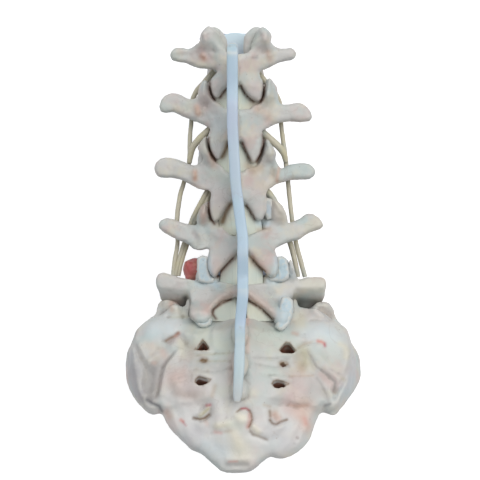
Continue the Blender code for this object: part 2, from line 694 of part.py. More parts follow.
def posterior_ligament():
    """Thin band inside the canal, down the backs of the bodies and discs, with a rounded top."""
    half = BACK_BAND_THICKNESS / 2
    path, halves = [], []
    for level in reversed(LEVELS):
        back = level.depth / 2 + 0.5 + half
        if level is LEVELS[-1]:
            top = level.height / 2 + level.disc_above
            path += [poses[level.name] @ Vector((0, top - drop, back)) for drop in (0, 1.2)]
            halves += [BACK_BAND_TOP * 0.7, BACK_BAND_TOP]
        for upper in (True, False):
            path.append(poses[level.name] @ Vector((0, end_height(level, back, upper) * 0.92, back)))
            halves.append(BACK_BAND_TOP if level is LEVELS[-1] and upper else BACK_BAND_HALF_WIDTH)
    path.append(poses["sacrum"] @ Vector((0, BACK_BAND_END, SACRUM_BODY_DEPTH / 2 + 0.6 + half)))
    halves.append(BACK_BAND_HALF_WIDTH)
    return band("posterior_ligament", path, halves, half, ligament_material)


def front_path():
    """Two points before each body, top and bottom, then down the front of the sacrum."""
    half = FRONT_BAND_THICKNESS / 2
    path = []
    for level in reversed(LEVELS):
        front = level.depth / 2 + 0.75 + half
        for upper in (True, False):
            c = end_height(level, -level.depth / 2, upper) * 0.92
            path.append(poses[level.name] @ Vector((0, c, -front)))
    front = SACRUM_BODY_DEPTH / 2 + 0.9 + half
    path += [poses["sacrum"] @ Vector((0, c, rise - front))
             for c, rise in ((-2, 0), (-10, 1.6), (FRONT_BAND_END, 4.6))]
    return path


def anterior_ligament():
    halves = [FRONT_BAND_HALF_WIDTH * share for share in
              (0.88, 0.88, 0.88, 0.9, 0.95, 1, 1, 1, 1, 1, 1, 0.92, 0.6)]
    return band("anterior_ligament", front_path(), halves, FRONT_BAND_THICKNESS / 2, ligament_material)


def flavum(upper, lower, side, word):
    """Ligament that closes the window between two laminae, beside the middle line."""
    top = poses[upper] @ Vector((side * (FLAVUM_HALF_WIDTH + 1.2), -8.5, CANAL_BACK - 5.2))
    if lower == "sacrum":
        top = poses[upper] @ Vector((side * (FLAVUM_HALF_WIDTH + 2.8), -3.0, CANAL_BACK - 5.0))
        bottom = poses["sacrum"] @ Vector((side * (FLAVUM_HALF_WIDTH + 3.2), -4.5, 33.0))
    else:
        bottom = poses[lower] @ Vector((side * (FLAVUM_HALF_WIDTH + 1.2), LAMINA_TOP - 2.0, CANAL_BACK - 5.5))
    half = FLAVUM_THICKNESS / 2
    bm = bmesh.new()
    lean = -side * 0.28
    rings = []
    for share in (0, 0.3, 0.65, 1):
        point = top.lerp(bottom, share)
        spread = FLAVUM_HALF_WIDTH * (0.85 if share == 0 else 1.0)
        ring = []
        for u, v in ((-1, -0.6), (-0.85, -1), (0, -1), (0.85, -1), (1, -0.6), (1, 0.6), (0.85, 1), (0, 1),
                     (-0.85, 1), (-1, 0.6)):
            ring.append(point + Vector((u * spread, 0, v * half + u * spread * lean * side * side)))
        rings.append(ring)
    loft(bm, rings)
    plate = finish(bm, f"flavum_{upper}_{lower}_{word}", flavum_material)
    for name in (upper, lower):
        cut(plate, rooms[name])
    skin(plate, FLAVUM_VOXEL, 1)
    thin(plate, FLAVUM_TRIANGLES)
    return plate


# Nerves

def tube(name, points, radius, material):
    """Cord on a smooth curve through its points, made a closed mesh."""
    curve = bpy.data.curves.new(name, "CURVE")
    curve.dimensions = "3D"
    curve.bevel_depth = radius * MM
    curve.bevel_resolution = 2
    curve.use_fill_caps = True
    knots = [points[0]] + list(points) + [points[-1]]
    smooth = []
    for i in range(1, len(knots) - 2):
        a, b, c, d = (Vector(knot) for knot in knots[i - 1:i + 3])
        steps = max(1, round((c - b).length / (5 * radius)))
        for k in range(steps):
            t = k / steps
            smooth.append(0.5 * (2 * b + (c - a) * t + (2 * a - 5 * b + 4 * c - d) * t * t
                                 + (3 * b - a - 3 * c + d) * t ** 3))
    smooth.append(Vector(points[-1]))
    spline = curve.splines.new("POLY")
    spline.points.add(len(smooth) - 1)
    for spot, point in zip(spline.points, smooth):
        spot.co = (*(point * MM), 1)
    cord = bpy.data.objects.new(name, curve)
    parts.objects.link(cord)
    cord.parent = rest
    mesh = evaluated_mesh(cord)
    bm = bmesh.new()
    bm.from_mesh(mesh)
    bmesh.ops.remove_doubles(bm, verts=bm.verts, dist=0.00001)
    bm.to_mesh(mesh)
    bm.free()
    bpy.data.objects.remove(cord, do_unlink=True)
    mesh.materials.append(material)
    obj = bpy.data.objects.new(name, mesh)
    parts.objects.link(obj)
    obj.parent = rest
    return obj


def dural_sac():
    points = [poses["l1"] @ Vector((0, 0, 26))]
    points += [poses[level.name] @ Vector((0, 0, 26)) for level in reversed(LEVELS[:-1])]
    points += [poses["sacrum"] @ Vector((0, 4, 26)), poses["sacrum"] @ Vector((0, -5, 26))]
    return tube("dural_sac", points, DURAL_SAC_RADIUS, nerve_material)


# Routes in the frame of the spine, from the canal out and down beside the bodies
NERVE_ROUTES = {
    "nerve_l1_left": (ROOT_RADIUS * 0.9, (
        (-11.6, 152.0, 6.0), (-18.5, 151.5, 7.6), (-25.0, 145.5, 4.5), (-28.0, 137.0, 1.4), (-28.8, 121.0, 1.4),
        (-30.4, 106.0, 1.2), (-33.4, 94.0, 1.4), (-37.0, 78.0, 2.5), (-37.6, 60.0, 3.0), (-39.5, 42.0, 4.0),
        (-41.0, 31.0, 4.5))),
    "nerve_l1_right": (ROOT_RADIUS * 0.9, (
        (4.2, 152.0, 6.0), (11.5, 151.5, 7.6), (17.6, 145.5, 4.5), (21.4, 137.0, 1.4), (23.6, 121.0, 1.4),
        (25.6, 106.0, 1.2), (27.4, 94.0, 1.4), (29.4, 78.0, 2.5), (31.6, 59.0, 3.0), (36.0, 42.0, 4.0),
        (38.6, 31.0, 4.5))),
    "nerve_l2_left": (ROOT_RADIUS, (
        (-10.0, 119.0, 4.5), (-17.6, 118.5, 7.5), (-22.5, 114.0, 6.5), (-27.7, 107.2, 4.2))),
    "nerve_l2_right": (ROOT_RADIUS, (
        (3.6, 119.0, 4.5), (11.6, 118.5, 7.5), (17.4, 114.0, 6.5), (22.8, 107.4, 4.3))),
    "nerve_l3_left": (ROOT_RADIUS, (
        (-10.4, 83.0, 5.0), (-16.6, 83.0, 8.0), (-22.5, 77.5, 6.8), (-27.4, 67.0, 2.6), (-31.4, 55.0, 2.8),
        (-35.2, 42.0, 4.0), (-36.8, 33.0, 4.5))),
    "nerve_l3_right": (ROOT_RADIUS, (
        (5.6, 83.0, 5.0), (12.2, 83.0, 8.0), (18.5, 77.5, 6.8), (25.2, 67.0, 2.6), (28.4, 55.0, 2.8),
        (31.6, 42.0, 4.0), (33.8, 33.0, 4.5))),
}


def nerves():
    return [tube(name, route, radius, nerve_material) for name, (radius, route) in NERVE_ROUTES.items()]


def set_down(pieces):
    """Lays the front of the disc under L4 flat on the table, and centres the model over the origin."""
    path, order = front_path(), [level.name for level in reversed(LEVELS)]
    first = 2 * order.index(FRONT_REST) + 1
    upper, lower = path[first], path[first + 1]
    rest.rotation_euler = (math.atan2(lower.z - upper.z, upper.y - lower.y), 0, 0)
    bpy.context.view_layer.update()
    corners = [obj.matrix_world @ vert.co for obj in pieces for vert in obj.data.vertices]
    low = [min(corner[axis] for corner in corners) for axis in range(3)]
    high = [max(corner[axis] for corner in corners) for axis in range(3)]
    rest.location = (-(low[0] + high[0]) / 2, -(low[1] + high[1]) / 2, -low[2])


clear_scene()
parts = new_collection("Lumbar spine model")
cutters = new_collection("Cutters")
bone_material = new_material("Cast bone", (0.62, 0.58, 0.53), 0.55)
disc_material = new_material("Disc plastic", (0.50, 0.60, 0.68), 0.45)
cartilage_material = new_material("Cartilage", (0.55, 0.63, 0.68), 0.45)
ligament_material = new_material("Ligament plastic", (0.45, 0.58, 0.68), 0.40)
flavum_material = new_material("Yellow ligament", (0.58, 0.60, 0.47), 0.50)
nerve_material = new_material("Nerve plastic", (0.62, 0.57, 0.36), 0.50)
prolapse_material = new_material("Prolapsed disc", (0.60, 0.11, 0.10), 0.45)
cutter_material = new_material("Cutter", (0.9, 0.3, 0.3), 0.5)

rest = bpy.data.objects.new("rest", None)
parts.objects.link(rest)

poses = stack_levels()
poses["sacrum"] = tilted(SACRUM_TILT)
bones = {level.name: vertebra(level) for level in LEVELS}
bones["sacrum"] = sacrum()

below = "sacrum"
for level in LEVELS:
    for side, word in SIDES:
        facet_joint(level.name, below, side, word)
    below = level.name

for level in LEVELS:
    skin(bones[level.name], FACET_VOXEL, 1)
    thin(bones[level.name], VERTEBRA_TRIANGLES)
# The back of the sacrum is hollowed to take the lower processes of L5, and the strap on its crest
strap = supraspinous_ligament()
room = grown(bones["l5"], LOOSE_GAP)
skin(room, VOXEL, 0)
cut(bones["sacrum"], room)
cut(bones["sacrum"], grown(strap, LOOSE_GAP))
skin(bones["sacrum"])
thin(bones["sacrum"], SACRUM_TRIANGLES)

discs = make_discs()
rooms = {name: grown(bone, LOOSE_GAP) for name, bone in bones.items()}
prolapse()
anterior_ligament()
posterior_ligament()
below = "sacrum"
for level in LEVELS:
    for side, word in SIDES:
        flavum(level.name, below, side, word)
    below = level.name
dural_sac()
nerves()
set_down([obj for obj in parts.objects if obj.type == "MESH"])
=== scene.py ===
# Lumbar spine teaching model, dressed: cast bones, soft discs, ligament bands and nerve cords.
# Lengths are in millimetres in a bone's own frame, (x, c, p): x to the side, c towards the head
# and p towards the back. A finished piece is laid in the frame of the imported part, in metres.

import math
from collections import namedtuple

import bmesh
import bpy
import numpy as np
from mathutils import Matrix, Vector


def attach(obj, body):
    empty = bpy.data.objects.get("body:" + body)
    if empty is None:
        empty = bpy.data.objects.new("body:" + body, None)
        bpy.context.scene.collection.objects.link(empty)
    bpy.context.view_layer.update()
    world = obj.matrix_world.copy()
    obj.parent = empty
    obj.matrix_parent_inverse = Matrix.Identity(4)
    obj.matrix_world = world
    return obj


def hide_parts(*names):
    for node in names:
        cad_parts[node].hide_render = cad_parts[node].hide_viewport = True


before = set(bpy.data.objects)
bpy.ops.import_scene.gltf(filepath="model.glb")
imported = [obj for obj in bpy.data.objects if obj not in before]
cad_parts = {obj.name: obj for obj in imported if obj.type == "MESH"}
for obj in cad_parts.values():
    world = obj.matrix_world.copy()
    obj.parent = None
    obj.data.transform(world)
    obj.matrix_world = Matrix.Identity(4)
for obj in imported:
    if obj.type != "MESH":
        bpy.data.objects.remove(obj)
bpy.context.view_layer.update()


# Camera and place of the model
# The model lies face down on the table, and the camera looks down on its back. Points of the
# photograph are taken into a bone's own frame along the camera's rays.

MM = 0.001
REST_TILT = 11.4463
REST_SHIFT = (0.000054, -0.058339, 0.025005)
CAMERA_AT = Vector((-0.86, 60.15, 459.13))
PHOTO_SIZE = 480
FOCAL = 783.0                # in pixels of the photograph
SENSOR = 36.0
CLIP_START = 0.01

rest = (Matrix.Translation(REST_SHIFT) @ Matrix.Rotation(math.radians(REST_TILT), 4, "X")
        @ Matrix.Scale(MM, 4))

bpy.ops.object.camera_add()
camera = bpy.context.object
camera.data.lens = FOCAL / PHOTO_SIZE * SENSOR
camera.data.sensor_width = SENSOR
camera.data.clip_start = CLIP_START
camera.rotation_euler = (math.radians(REST_TILT), 0, 0)
camera.location = rest @ CAMERA_AT
bpy.context.scene.camera = camera


def seen_at(px, py, place, depth):
    """Point of a bone's own frame, at that depth, which a pixel of the photograph shows."""
    into = place.inverted()
    ray = into.to_3x3() @ Vector((px - PHOTO_SIZE / 2, PHOTO_SIZE / 2 - py, -FOCAL))
    start = into @ CAMERA_AT
    return start + ray * ((depth - start.z) / ray.z)


def photo_points(points, place):
    """Pixels at which an array of points in a bone's own frame is seen."""
    turn, shift = np.array(place.to_3x3()), np.array(place.translation)
    seen = points @ turn.T + shift - np.array(CAMERA_AT)
    scale = FOCAL / -seen[:, 2]
    return PHOTO_SIZE / 2 + seen[:, 0] * scale, PHOTO_SIZE / 2 - seen[:, 1] * scale


# Vertebrae
# Five cast bones, off-white with pink, cream and rust stains. Each is a waisted body, two
# pedicles, a spinous process and a rounded plate in the outline of its arch, under one skin.

Level = namedtuple("Level", "name tilt side height width depth wedge disc_above iap_reach lamina_low "
                            "spine_side spine_back")
LEVELS = (
    Level("l5", 17.0, 0.0, 27.2, 49, 34.0, 6, 10.0, 21.6, -7.0, 0.6, 55.0),
    Level("l4", 7.5, 0.2, 27.8, 46, 33.5, 2, 9.4, 16.6, -13.5, 0.4, 60.0),
    Level("l3", 1.5, -2.8, 27.8, 44, 33.0, 1, 8.4, 12.8, -14.5, -0.4, 61.0),
    Level("l2", -3.2, -3.0, 27.2, 42, 32.0, 0, 7.9, 10.6, -15.0, -1.9, 61.0),
    Level("l1", -9.7, -3.6, 26.2, 40, 31.0, 0, 4.4, 10.8, -14.0, -1.3, 60.0),
)
LOWEST_DISC = 10.0
SACRUM_TILT = 41.0
BODY_SHARES = (0, 0.02, 0.06, 0.12, 0.2, 0.3, 0.4, 0.5, 0.6, 0.7, 0.8, 0.88, 0.94, 0.98, 1.0)
BODY_WAIST = 0.16
BODY_RIM_START = 0.93        # share of the way to an end plate where its edge turns in
BODY_RIM_TURN = 0.05
BODY_POWER = 0.8             # 1 draws an oval outline and 0 a square one
BODY_POINTS = 72
BODY_DENT = 2.4              # hollow down the middle of its back
PEDICLE_SIDE = 15.5
PEDICLE_RISE = 5.5
LIMB_SIDES = 20
TIP_REACH = 0.6              # how far a limb's end stands out, and how wide it is there
TIP_SIZE = 0.55
UPRIGHT = Vector((0, 1, 0))
ARCH_BACK = 31.0             # p of the pillars that carry the joint processes
CANAL_BACK = 39.5            # p of the middle of the lamina
LAMINA_TOP = 4.6
LAMINA_SIDE_BACK = 28.5      # p of the arch far from the middle, then how much it rises to it
LAMINA_RISE = 10.8
LAMINA_SPREAD = 13.5
LOWER_PROCESS_BACK = 37.6
UPPER_PROCESS_BACK = 35.0
ARCH_HALF = 3.5
LOWER_PROCESS_MORE = 0.6     # what is added to that half thickness at the processes
UPPER_PROCESS_MORE = 1.2
ARCH_ROUNDING = 3.1
WEB_SIDE = 28                # where the transverse processes of L5 fall away, and how far
WEB_DROP = 19
JOINT_FLOOR = (8.0, 11.5, 3.2)
LOWEST_FLOORS = {-1: (3.0, 5.0, 2.0), 1: (4.5, 7.5, 2.4)}
PLATE_HALF = 3
PLATE_VOXEL = 0.8
EDGE_POWER = 2.6             # 2 rounds an edge like a circle, and more makes it fuller
BONE_VOXEL = 0.62
BONE_GRAIN = ((7.0, 1.1), (2.6, 0.28))

# Outline of each arch from behind, in pixels of the photograph, round from the middle of its top
ARCH_OUTLINES = {
    "l1": (
        (234, 57), (228, 57), (225.5, 50), (222.5, 43), (220.5, 37), (218, 31), (213.5, 28),
        (208.5, 25.3), (205, 28), (202, 32), (200, 35), (200.5, 39.5), (198.5, 42.5), (194.5, 45.8),
        (190, 48.5), (182, 48), (175, 47.8), (171.3, 51), (169.7, 55.5), (171.5, 60.5), (178, 61.8),
        (186, 63.2), (193, 66.2), (199.5, 68.5), (207, 69), (214, 69), (217.5, 70.6), (216.5, 74),
        (212.5, 78), (210, 82.5), (210.6, 88.5), (212.3, 94.5), (215, 98), (218.6, 97.8), (221.5, 94),
        (224.5, 90.3), (228, 87), (233, 82.5), (240, 84.7), (243, 89.5), (246.2, 94.5), (249.5, 97.7),
        (253.5, 100.3), (257.3, 101.6), (260.7, 100), (262.2, 95), (263.2, 88.5), (263.6, 82.6),
        (260.5, 78.5), (258.6, 74), (259.8, 71), (265, 69.3), (270, 67.8), (274, 65.5), (278.5, 62.6),
        (284, 61), (290.5, 60), (294.7, 58), (296.6, 54), (295, 50), (290.5, 47.4), (285.5, 49),
        (280.5, 49), (276.5, 47.3), (272.8, 44.6), (271, 41), (272.2, 37), (270.6, 32.8), (267, 29),
        (262.3, 26.6), (259.5, 28.5), (256.5, 33), (254, 38), (252.3, 42), (250.6, 47), (251, 51.5),
        (246, 53.8), (240, 54.5),
    ),
    "l2": (
        (234, 109), (228, 109), (223, 107.5), (219.5, 103.5), (214.5, 101), (210.8, 96.5), (209, 90),
        (208.3, 83), (206.5, 80), (203, 81), (200, 85), (198.3, 91), (197.5, 97), (193, 99.5),
        (188, 98.7), (181, 95.5), (176, 93.3), (170, 93), (164.5, 96), (161, 101), (159.3, 107),
        (161, 112), (166, 113.3), (173, 112.2), (179, 114.5), (186, 118), (193, 120), (199, 122.5),
        (205, 125.5), (211, 128.5), (209.5, 133), (208, 139), (209, 146), (211.5, 153), (215, 158.5),
        (218.5, 160.3), (221, 157.5), (224, 151.5), (226.5, 146), (228.5, 141.5), (234, 135),
        (241.5, 142), (244, 148.5), (247.5, 155.5), (251, 161.5), (253.5, 163.3), (256.5, 160.5),
        (260, 154), (262, 147), (262.5, 140), (262.3, 134.5), (261, 131.5), (266, 128.5), (270, 126.5),
        (276, 124), (282, 122.2), (290, 121), (297, 122), (304, 122.3), (310, 121), (312.5, 117.5),
        (311, 112), (307.5, 107), (303, 103.5), (297, 102.5), (291, 104), (285, 105.2), (280, 104.5),
        (278.5, 101), (278, 95), (277.5, 89), (275.5, 84.5), (272.5, 80.5), (269.5, 77.8), (266.5, 80),
        (265.6, 84), (265.3, 90), (264.2, 96), (262.3, 101), (258.5, 104.3), (254, 104.8), (250.5, 108.8),
        (242, 110.3),
    ),
    "l3": (
        (236, 174), (229, 173.5), (224, 170), (221, 165), (217, 163.3), (213, 159.5), (210, 153.5),
        (208.3, 147), (207.5, 140), (206.5, 135.5), (203, 139), (199.5, 143.5), (197.5, 148),
        (199.5, 152), (202.5, 157), (203, 161), (199.5, 164.5), (194, 165.3), (188, 163.5), (183, 161.8),
        (178, 159.8), (172, 158), (166, 157.3), (160, 159.3), (156, 163), (154.3, 168), (155, 173.5),
        (158.5, 177.3), (166, 178), (173, 178), (180, 179.3), (187, 182.5), (193, 186), (197, 188.5),
        (203, 190), (209.5, 190.5), (211.7, 193.5), (210.3, 199), (209, 205), (209.5, 211), (211, 217),
        (213, 221.5), (215.5, 222.7), (219, 220.5), (221.5, 216), (224, 211), (227.5, 206.5),
        (232.5, 201.5), (238, 198), (246, 205), (249, 209), (252, 214), (255, 219), (259, 220.8),
        (263, 219), (265.2, 213), (265.6, 205), (265.8, 198), (266.5, 192), (267.5, 189), (270.5, 188),
        (273.5, 186), (277, 183.5), (283, 182.3), (288, 180), (295, 179.5), (303, 179.7), (310, 179),
        (314.5, 176), (315.8, 171.5), (313.5, 167), (309.5, 163.8), (304, 162.6), (297, 163.3),
        (290, 164.5), (284.5, 167.5), (281, 169.5), (278.5, 166), (276.3, 162), (275.5, 158),
        (276.8, 154), (275, 150.5), (273, 147), (270.5, 143), (268, 139.5), (265, 138.5), (264.4, 142),
        (263.9, 149), (262.3, 156), (259.5, 162), (255.5, 166.3), (251, 167), (247, 168.5), (243, 172.5),
    ),
    "l4": (
        (240, 238), (231, 236), (225.5, 231.5), (222, 226.5), (217, 226), (212.5, 224.5), (209.3, 220),
        (207.8, 213), (207.3, 207), (205, 203.5), (202, 207), (200.3, 212), (198.5, 218), (197.5, 223),
        (196, 225.3), (190, 224.5), (184, 223.2), (178, 221), (173, 219), (167, 218.3), (161.5, 220),
        (158.8, 224), (159.2, 228.5), (163, 232), (169, 235.5), (174, 238.5), (180, 241), (186, 242.8),
        (189.5, 245.5), (193, 249), (197.5, 250.5), (203, 250), (208.5, 248.3), (209.5, 250.5),
        (208, 256), (207.4, 262), (208, 268), (210, 274), (213, 277.3), (216, 277.3), (219, 273.5),
        (222, 269.5), (226, 264.5), (230, 260.5), (233, 257.5), (236, 254), (243, 250), (248, 252.5),
        (251.5, 256.7), (255, 261.5), (259, 266), (263, 270), (266, 274), (270, 277.3), (275, 278),
        (278, 273), (278, 265), (277.5, 258), (276, 253), (274, 250.3), (277, 247), (281, 245.5),
        (286, 243.5), (291, 241.5), (296, 240.3), (300, 239.5), (304, 236), (309, 232.8), (315, 230.8),
        (320, 229.3), (323.8, 226), (322, 221.5), (318, 217), (313, 214), (308, 213.6), (304, 215.5),
        (300, 218.5), (296, 220.5), (291, 223), (286.5, 224.3), (285.6, 219), (284.6, 213),
        (283.4, 207.5), (280.2, 203.5), (276, 200.3), (273, 198), (272.2, 204), (272.4, 212),
        (271.6, 219), (270, 226), (264, 230), (257, 231.5), (253.5, 234), (247, 236.5),
    ),
    "l5": (
        (241, 285), (233, 284.5), (226, 282.5), (220, 281.5), (213, 283), (206, 282.5), (197, 281),
        (189, 279.5), (182, 278.3), (176, 276.3), (170, 274.5), (163, 273), (158.5, 274), (155.8, 279),
        (155.9, 285), (158, 291), (160.5, 298.5), (165.5, 304), (174, 310), (181, 315.5), (187, 317),
        (189.5, 317.5), (192, 319.5), (197, 323), (203, 324.3), (208, 322), (211.5, 317.5), (211, 312),
        (214, 307.5), (219, 303.5), (225, 300), (231, 298), (238, 295.5), (247, 297), (252, 301),
        (258, 305), (264, 309.5), (269, 314.5), (272.5, 318.5), (275.5, 323), (278.5, 327.5),
        (281.7, 330), (285.5, 328), (289, 323.5), (291, 318), (292, 313), (297, 316.5), (303, 316),
        (308.5, 314.5), (315, 310), (320, 304.5), (324, 299), (325, 291.5), (326.6, 286), (325.8, 280),
        (322, 277.3), (315, 277), (308, 277), (303, 278.3), (298.5, 280.5), (295.8, 275), (293.8, 268),
        (291.8, 262), (289.5, 258.5), (289.8, 266), (289.6, 275), (288, 280), (278, 282), (268, 282.5),
        (258, 284), (249, 285),
    ),
}
# Swellings and furrows on the arches: height, breadth in pixels, and the pixels they run through
ARCH_RELIEF = {
    "l1": (
        (1.7, 3.2, ((204.5, 34), (205.5, 44), (203, 55))),
        (1.2, 3.4, ((264.5, 34), (266, 46), (270, 55))), (-1.8, 4.6, ((218, 36), (222, 45), (226, 54))),
        (-1.2, 4.0, ((256, 36), (252, 47))), (0.3, 2.6, ((203.5, 57), (203.5, 58))),
        (-0.8, 2.4, ((214, 50), (215, 52))), (-0.7, 2.2, ((254, 58), (257, 58))),
        (-0.7, 3.0, ((190, 56), (180, 56))),
    ),
    "l2": (
        (1.1, 3.0, ((204, 84), (202, 98))), (1.1, 3.0, ((271, 82), (273, 98))),
        (1.4, 3.0, ((197, 108), (198, 113))), (-1.0, 3.0, ((202, 118), (207, 104))),
        (0.8, 4.0, ((268, 108), (266, 116))), (-0.5, 3.0, ((224, 136), (227, 130))),
    ),
    "l3": (
        (1.1, 2.6, ((204, 141), (208, 152), (212, 165))), (1.1, 3.2, ((269, 144), (270, 160))),
        (1.4, 2.8, ((195, 172), (194, 177))), (1.2, 2.8, ((279, 170), (278, 178))),
        (-1.2, 3.6, ((272, 171), (271, 175))), (-1.6, 4.6, ((252, 168), (255, 172))),
        (-0.9, 3.4, ((215, 166), (218, 170))),
    ),
    "l4": (
        (1.4, 4.0, ((200, 235), (203, 244))), (-1.0, 2.6, ((191, 228), (195, 238))),
        (0.8, 2.5, ((205, 210), (203, 220))), (0.8, 2.0, ((276, 205), (281, 212))),
        (-0.7, 1.6, ((275, 213), (281, 216))), (0.8, 3.0, ((210, 232), (220, 238))),
        (-0.6, 3.0, ((262, 240), (268, 236))),
    ),
    "l5": (
        (1.0, 3.0, ((235, 291), (222, 297), (212, 305))),
        (1.0, 3.0, ((246, 292), (258, 300), (270, 310))), (-1.0, 3.4, ((226, 288), (212, 291))),
        (-1.0, 3.4, ((254, 289), (272, 294))), (0.9, 5.0, ((200, 304), (201, 312))),
        (1.0, 5.0, ((281, 306), (282, 318))), (-0.9, 4.0, ((187, 287), (178, 288))),
    ),
}


def tilted(angle):
    return Matrix.Rotation(-math.radians(angle), 4, "X")


places, top, below, gap = {"sacrum": tilted(SACRUM_TILT)}, Vector(), SACRUM_TILT, LOWEST_DISC
for level in LEVELS:
    top += tilted((below + level.tilt) / 2) @ Vector((0, gap, 0))
    middle = top + tilted(level.tilt) @ Vector((0, level.height / 2, 0))
    top = top + tilted(level.tilt) @ Vector((0, level.height, 0))
    places[level.name] = Matrix.Translation(middle + Vector((level.side, 0, 0))) @ tilted(level.tilt)
    below, gap = level.tilt, level.disc_above


def use(obj):
    bpy.ops.object.select_all(action="DESELECT")
    obj.select_set(True)
    bpy.context.view_layer.objects.active = obj


def modify(obj, kind, **settings):
    """Adds a modifier with its settings and applies it."""
    use(obj)
    modifier = obj.modifiers.new(kind.title(), kind)
    for name, value in settings.items():
        setattr(modifier, name, value)
    bpy.ops.object.modifier_apply(modifier=modifier.name)


def draft(bm, name):
    """Makes the drawn mesh an object, in millimetres until it is laid."""
    bmesh.ops.recalc_face_normals(bm, faces=bm.faces)
    mesh = bpy.data.meshes.new(name)
    bm.to_mesh(mesh)
    bm.free()
    obj = bpy.data.objects.new(name, mesh)
    bpy.context.collection.objects.link(obj)
    return obj


def join(name, pieces):
    use(pieces[0])
    for piece in pieces[1:]:
        piece.select_set(True)
    bpy.ops.object.join()
    pieces[0].name = name
    return pieces[0]


def coordinates(obj):
    points = np.empty(len(obj.data.vertices) * 3)
    obj.data.vertices.foreach_get("co", points)
    return points.reshape(-1, 3)


def move_points(obj, points):
    obj.data.vertices.foreach_set("co", points.ravel())
    obj.data.update()


def directions(obj):
    normals = np.empty(len(obj.data.vertices) * 3, np.float32)
    obj.data.vertex_normals.foreach_get("vector", normals)
    return normals.reshape(-1, 3)


def lay(obj, place, material, slot, *nodes):
    """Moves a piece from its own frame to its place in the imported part, and dresses it."""
    obj.data.transform(rest @ place)
    obj.data.update()
    use(obj)
    bpy.ops.object.shade_smooth()
    obj.data.materials.clear()
    obj.data.materials.append(material)
    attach(obj, "root")
    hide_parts(*nodes)


def ramp(value):
    """0 below 0, 1 above 1 and smooth between."""
    value = np.clip(value, 0, 1)
    return value * value * (3 - 2 * value)


def line_distance(x, y, line):
    """Distance of every point (x, y) from a line through points."""
    nearest = np.full(len(x), np.inf)
    for (ax, ay), (bx, by) in zip(line, line[1:]):
        dx, dy = bx - ax, by - ay
        share = np.clip(((x - ax) * dx + (y - ay) * dy) / (dx * dx + dy * dy), 0, 1)
        nearest = np.minimum(nearest, np.hypot(x - ax - share * dx, y - ay - share * dy))
    return nearest


def relief(points, place, strokes):
    """Height that the strokes, drawn over the photograph, give each point."""
    px, py = photo_points(points, place)
    height = np.zeros(len(points))
    for rise, breadth, line in strokes:
        height += rise * np.exp(-(line_distance(px, py, line) / breadth) ** 2)
    return height


def loft(bm, rings):
    loops = [[bm.verts.new(point) for point in ring] for ring in rings]
    bm.faces.new(loops[0])
    bm.faces.new(loops[-1])
    for lower, upper in zip(loops, loops[1:]):
        for i, corner in enumerate(lower):
            j = (i + 1) % len(lower)
            bm.faces.new((corner, lower[j], upper[j], upper[i]))


def ring_points(count, power=1.0):
    """Points (u, v) round a circle, or round a squarer ring where the power is under 1."""
    points = []
    for k in range(count):
        cosine, sine = math.cos(math.tau * k / count), math.sin(math.tau * k / count)
        points.append((math.copysign(abs(cosine) ** power, cosine),
                       math.copysign(abs(sine) ** power, sine)))
    return points


def headings(centres):
    """Every centre on a path, with the direction in which the path runs there."""
    last = len(centres) - 1
    return [(centre, (centres[min(i + 1, last)] - centres[max(i - 1, 0)]).normalized())
            for i, centre in enumerate(centres)]


def limb(bm, stations, upright):
    """Bony limb through (centre, half thickness, half height) stations, with rounded ends."""
    rings = []
    for i, (centre, along) in enumerate(headings([Vector(station[0]) for station in stations])):
        _, thick, tall = stations[i]
        height = (upright - along * upright.dot(along)).normalized()
        width = along.cross(height)
        ring = [width * thick * u + height * tall * v for u, v in ring_points(LIMB_SIDES)]
        end = -1 if i == 0 else 1 if i == len(stations) - 1 else 0
        full = [centre + point for point in ring]
        tip = [centre + along * end * TIP_REACH * min(thick, tall) + point * TIP_SIZE for point in ring]
        rings += [tip, full] if end < 0 else [full, tip] if end > 0 else [full]
    loft(bm, rings)


def swelling(bm, centre, radii):
    matrix = Matrix.Translation(centre) @ Matrix.Diagonal((*radii, 1))
    bmesh.ops.create_uvsphere(bm, u_segments=24, v_segments=14, radius=1, matrix=matrix)


def body_outline(width, depth):
    """Kidney outline of a vertebral body in (x, p)."""
    outline = []
    for u, v in ring_points(BODY_POINTS, BODY_POWER):
        x, p = width / 2 * u, depth / 2 * v
        outline.append((x, p - (BODY_DENT * math.exp(-(x / (width / 5)) ** 2) if p > 0 else 0)))
    return outline


def end_height(level, p, upper):
    if upper:
        return level.height / 2
    return -level.height / 2 + p * math.tan(math.radians(level.wedge))


def body_rings(level):
    rings = []
    for share in BODY_SHARES:
        rim = abs(share - 0.5) * 2
        edge = max(0, (rim - BODY_RIM_START) / (1 - BODY_RIM_START))
        scale = 1 - BODY_WAIST * (1 - rim ** 2.2) - BODY_RIM_TURN * edge ** 2
        ring = []
        for x, p in body_outline(level.width * scale, level.depth * (1 + scale) / 2):
            low, high = end_height(level, p, False), end_height(level, p, True)
            ring.append((x, low + (high - low) * share, p))
        rings.append(ring)
    return rings


def spine_span(level):
    """c of the middle of the spinous process, and half its height."""
    return (LAMINA_TOP + level.lamina_low) / 2, (LAMINA_TOP - level.lamina_low) / 2 - 0.3


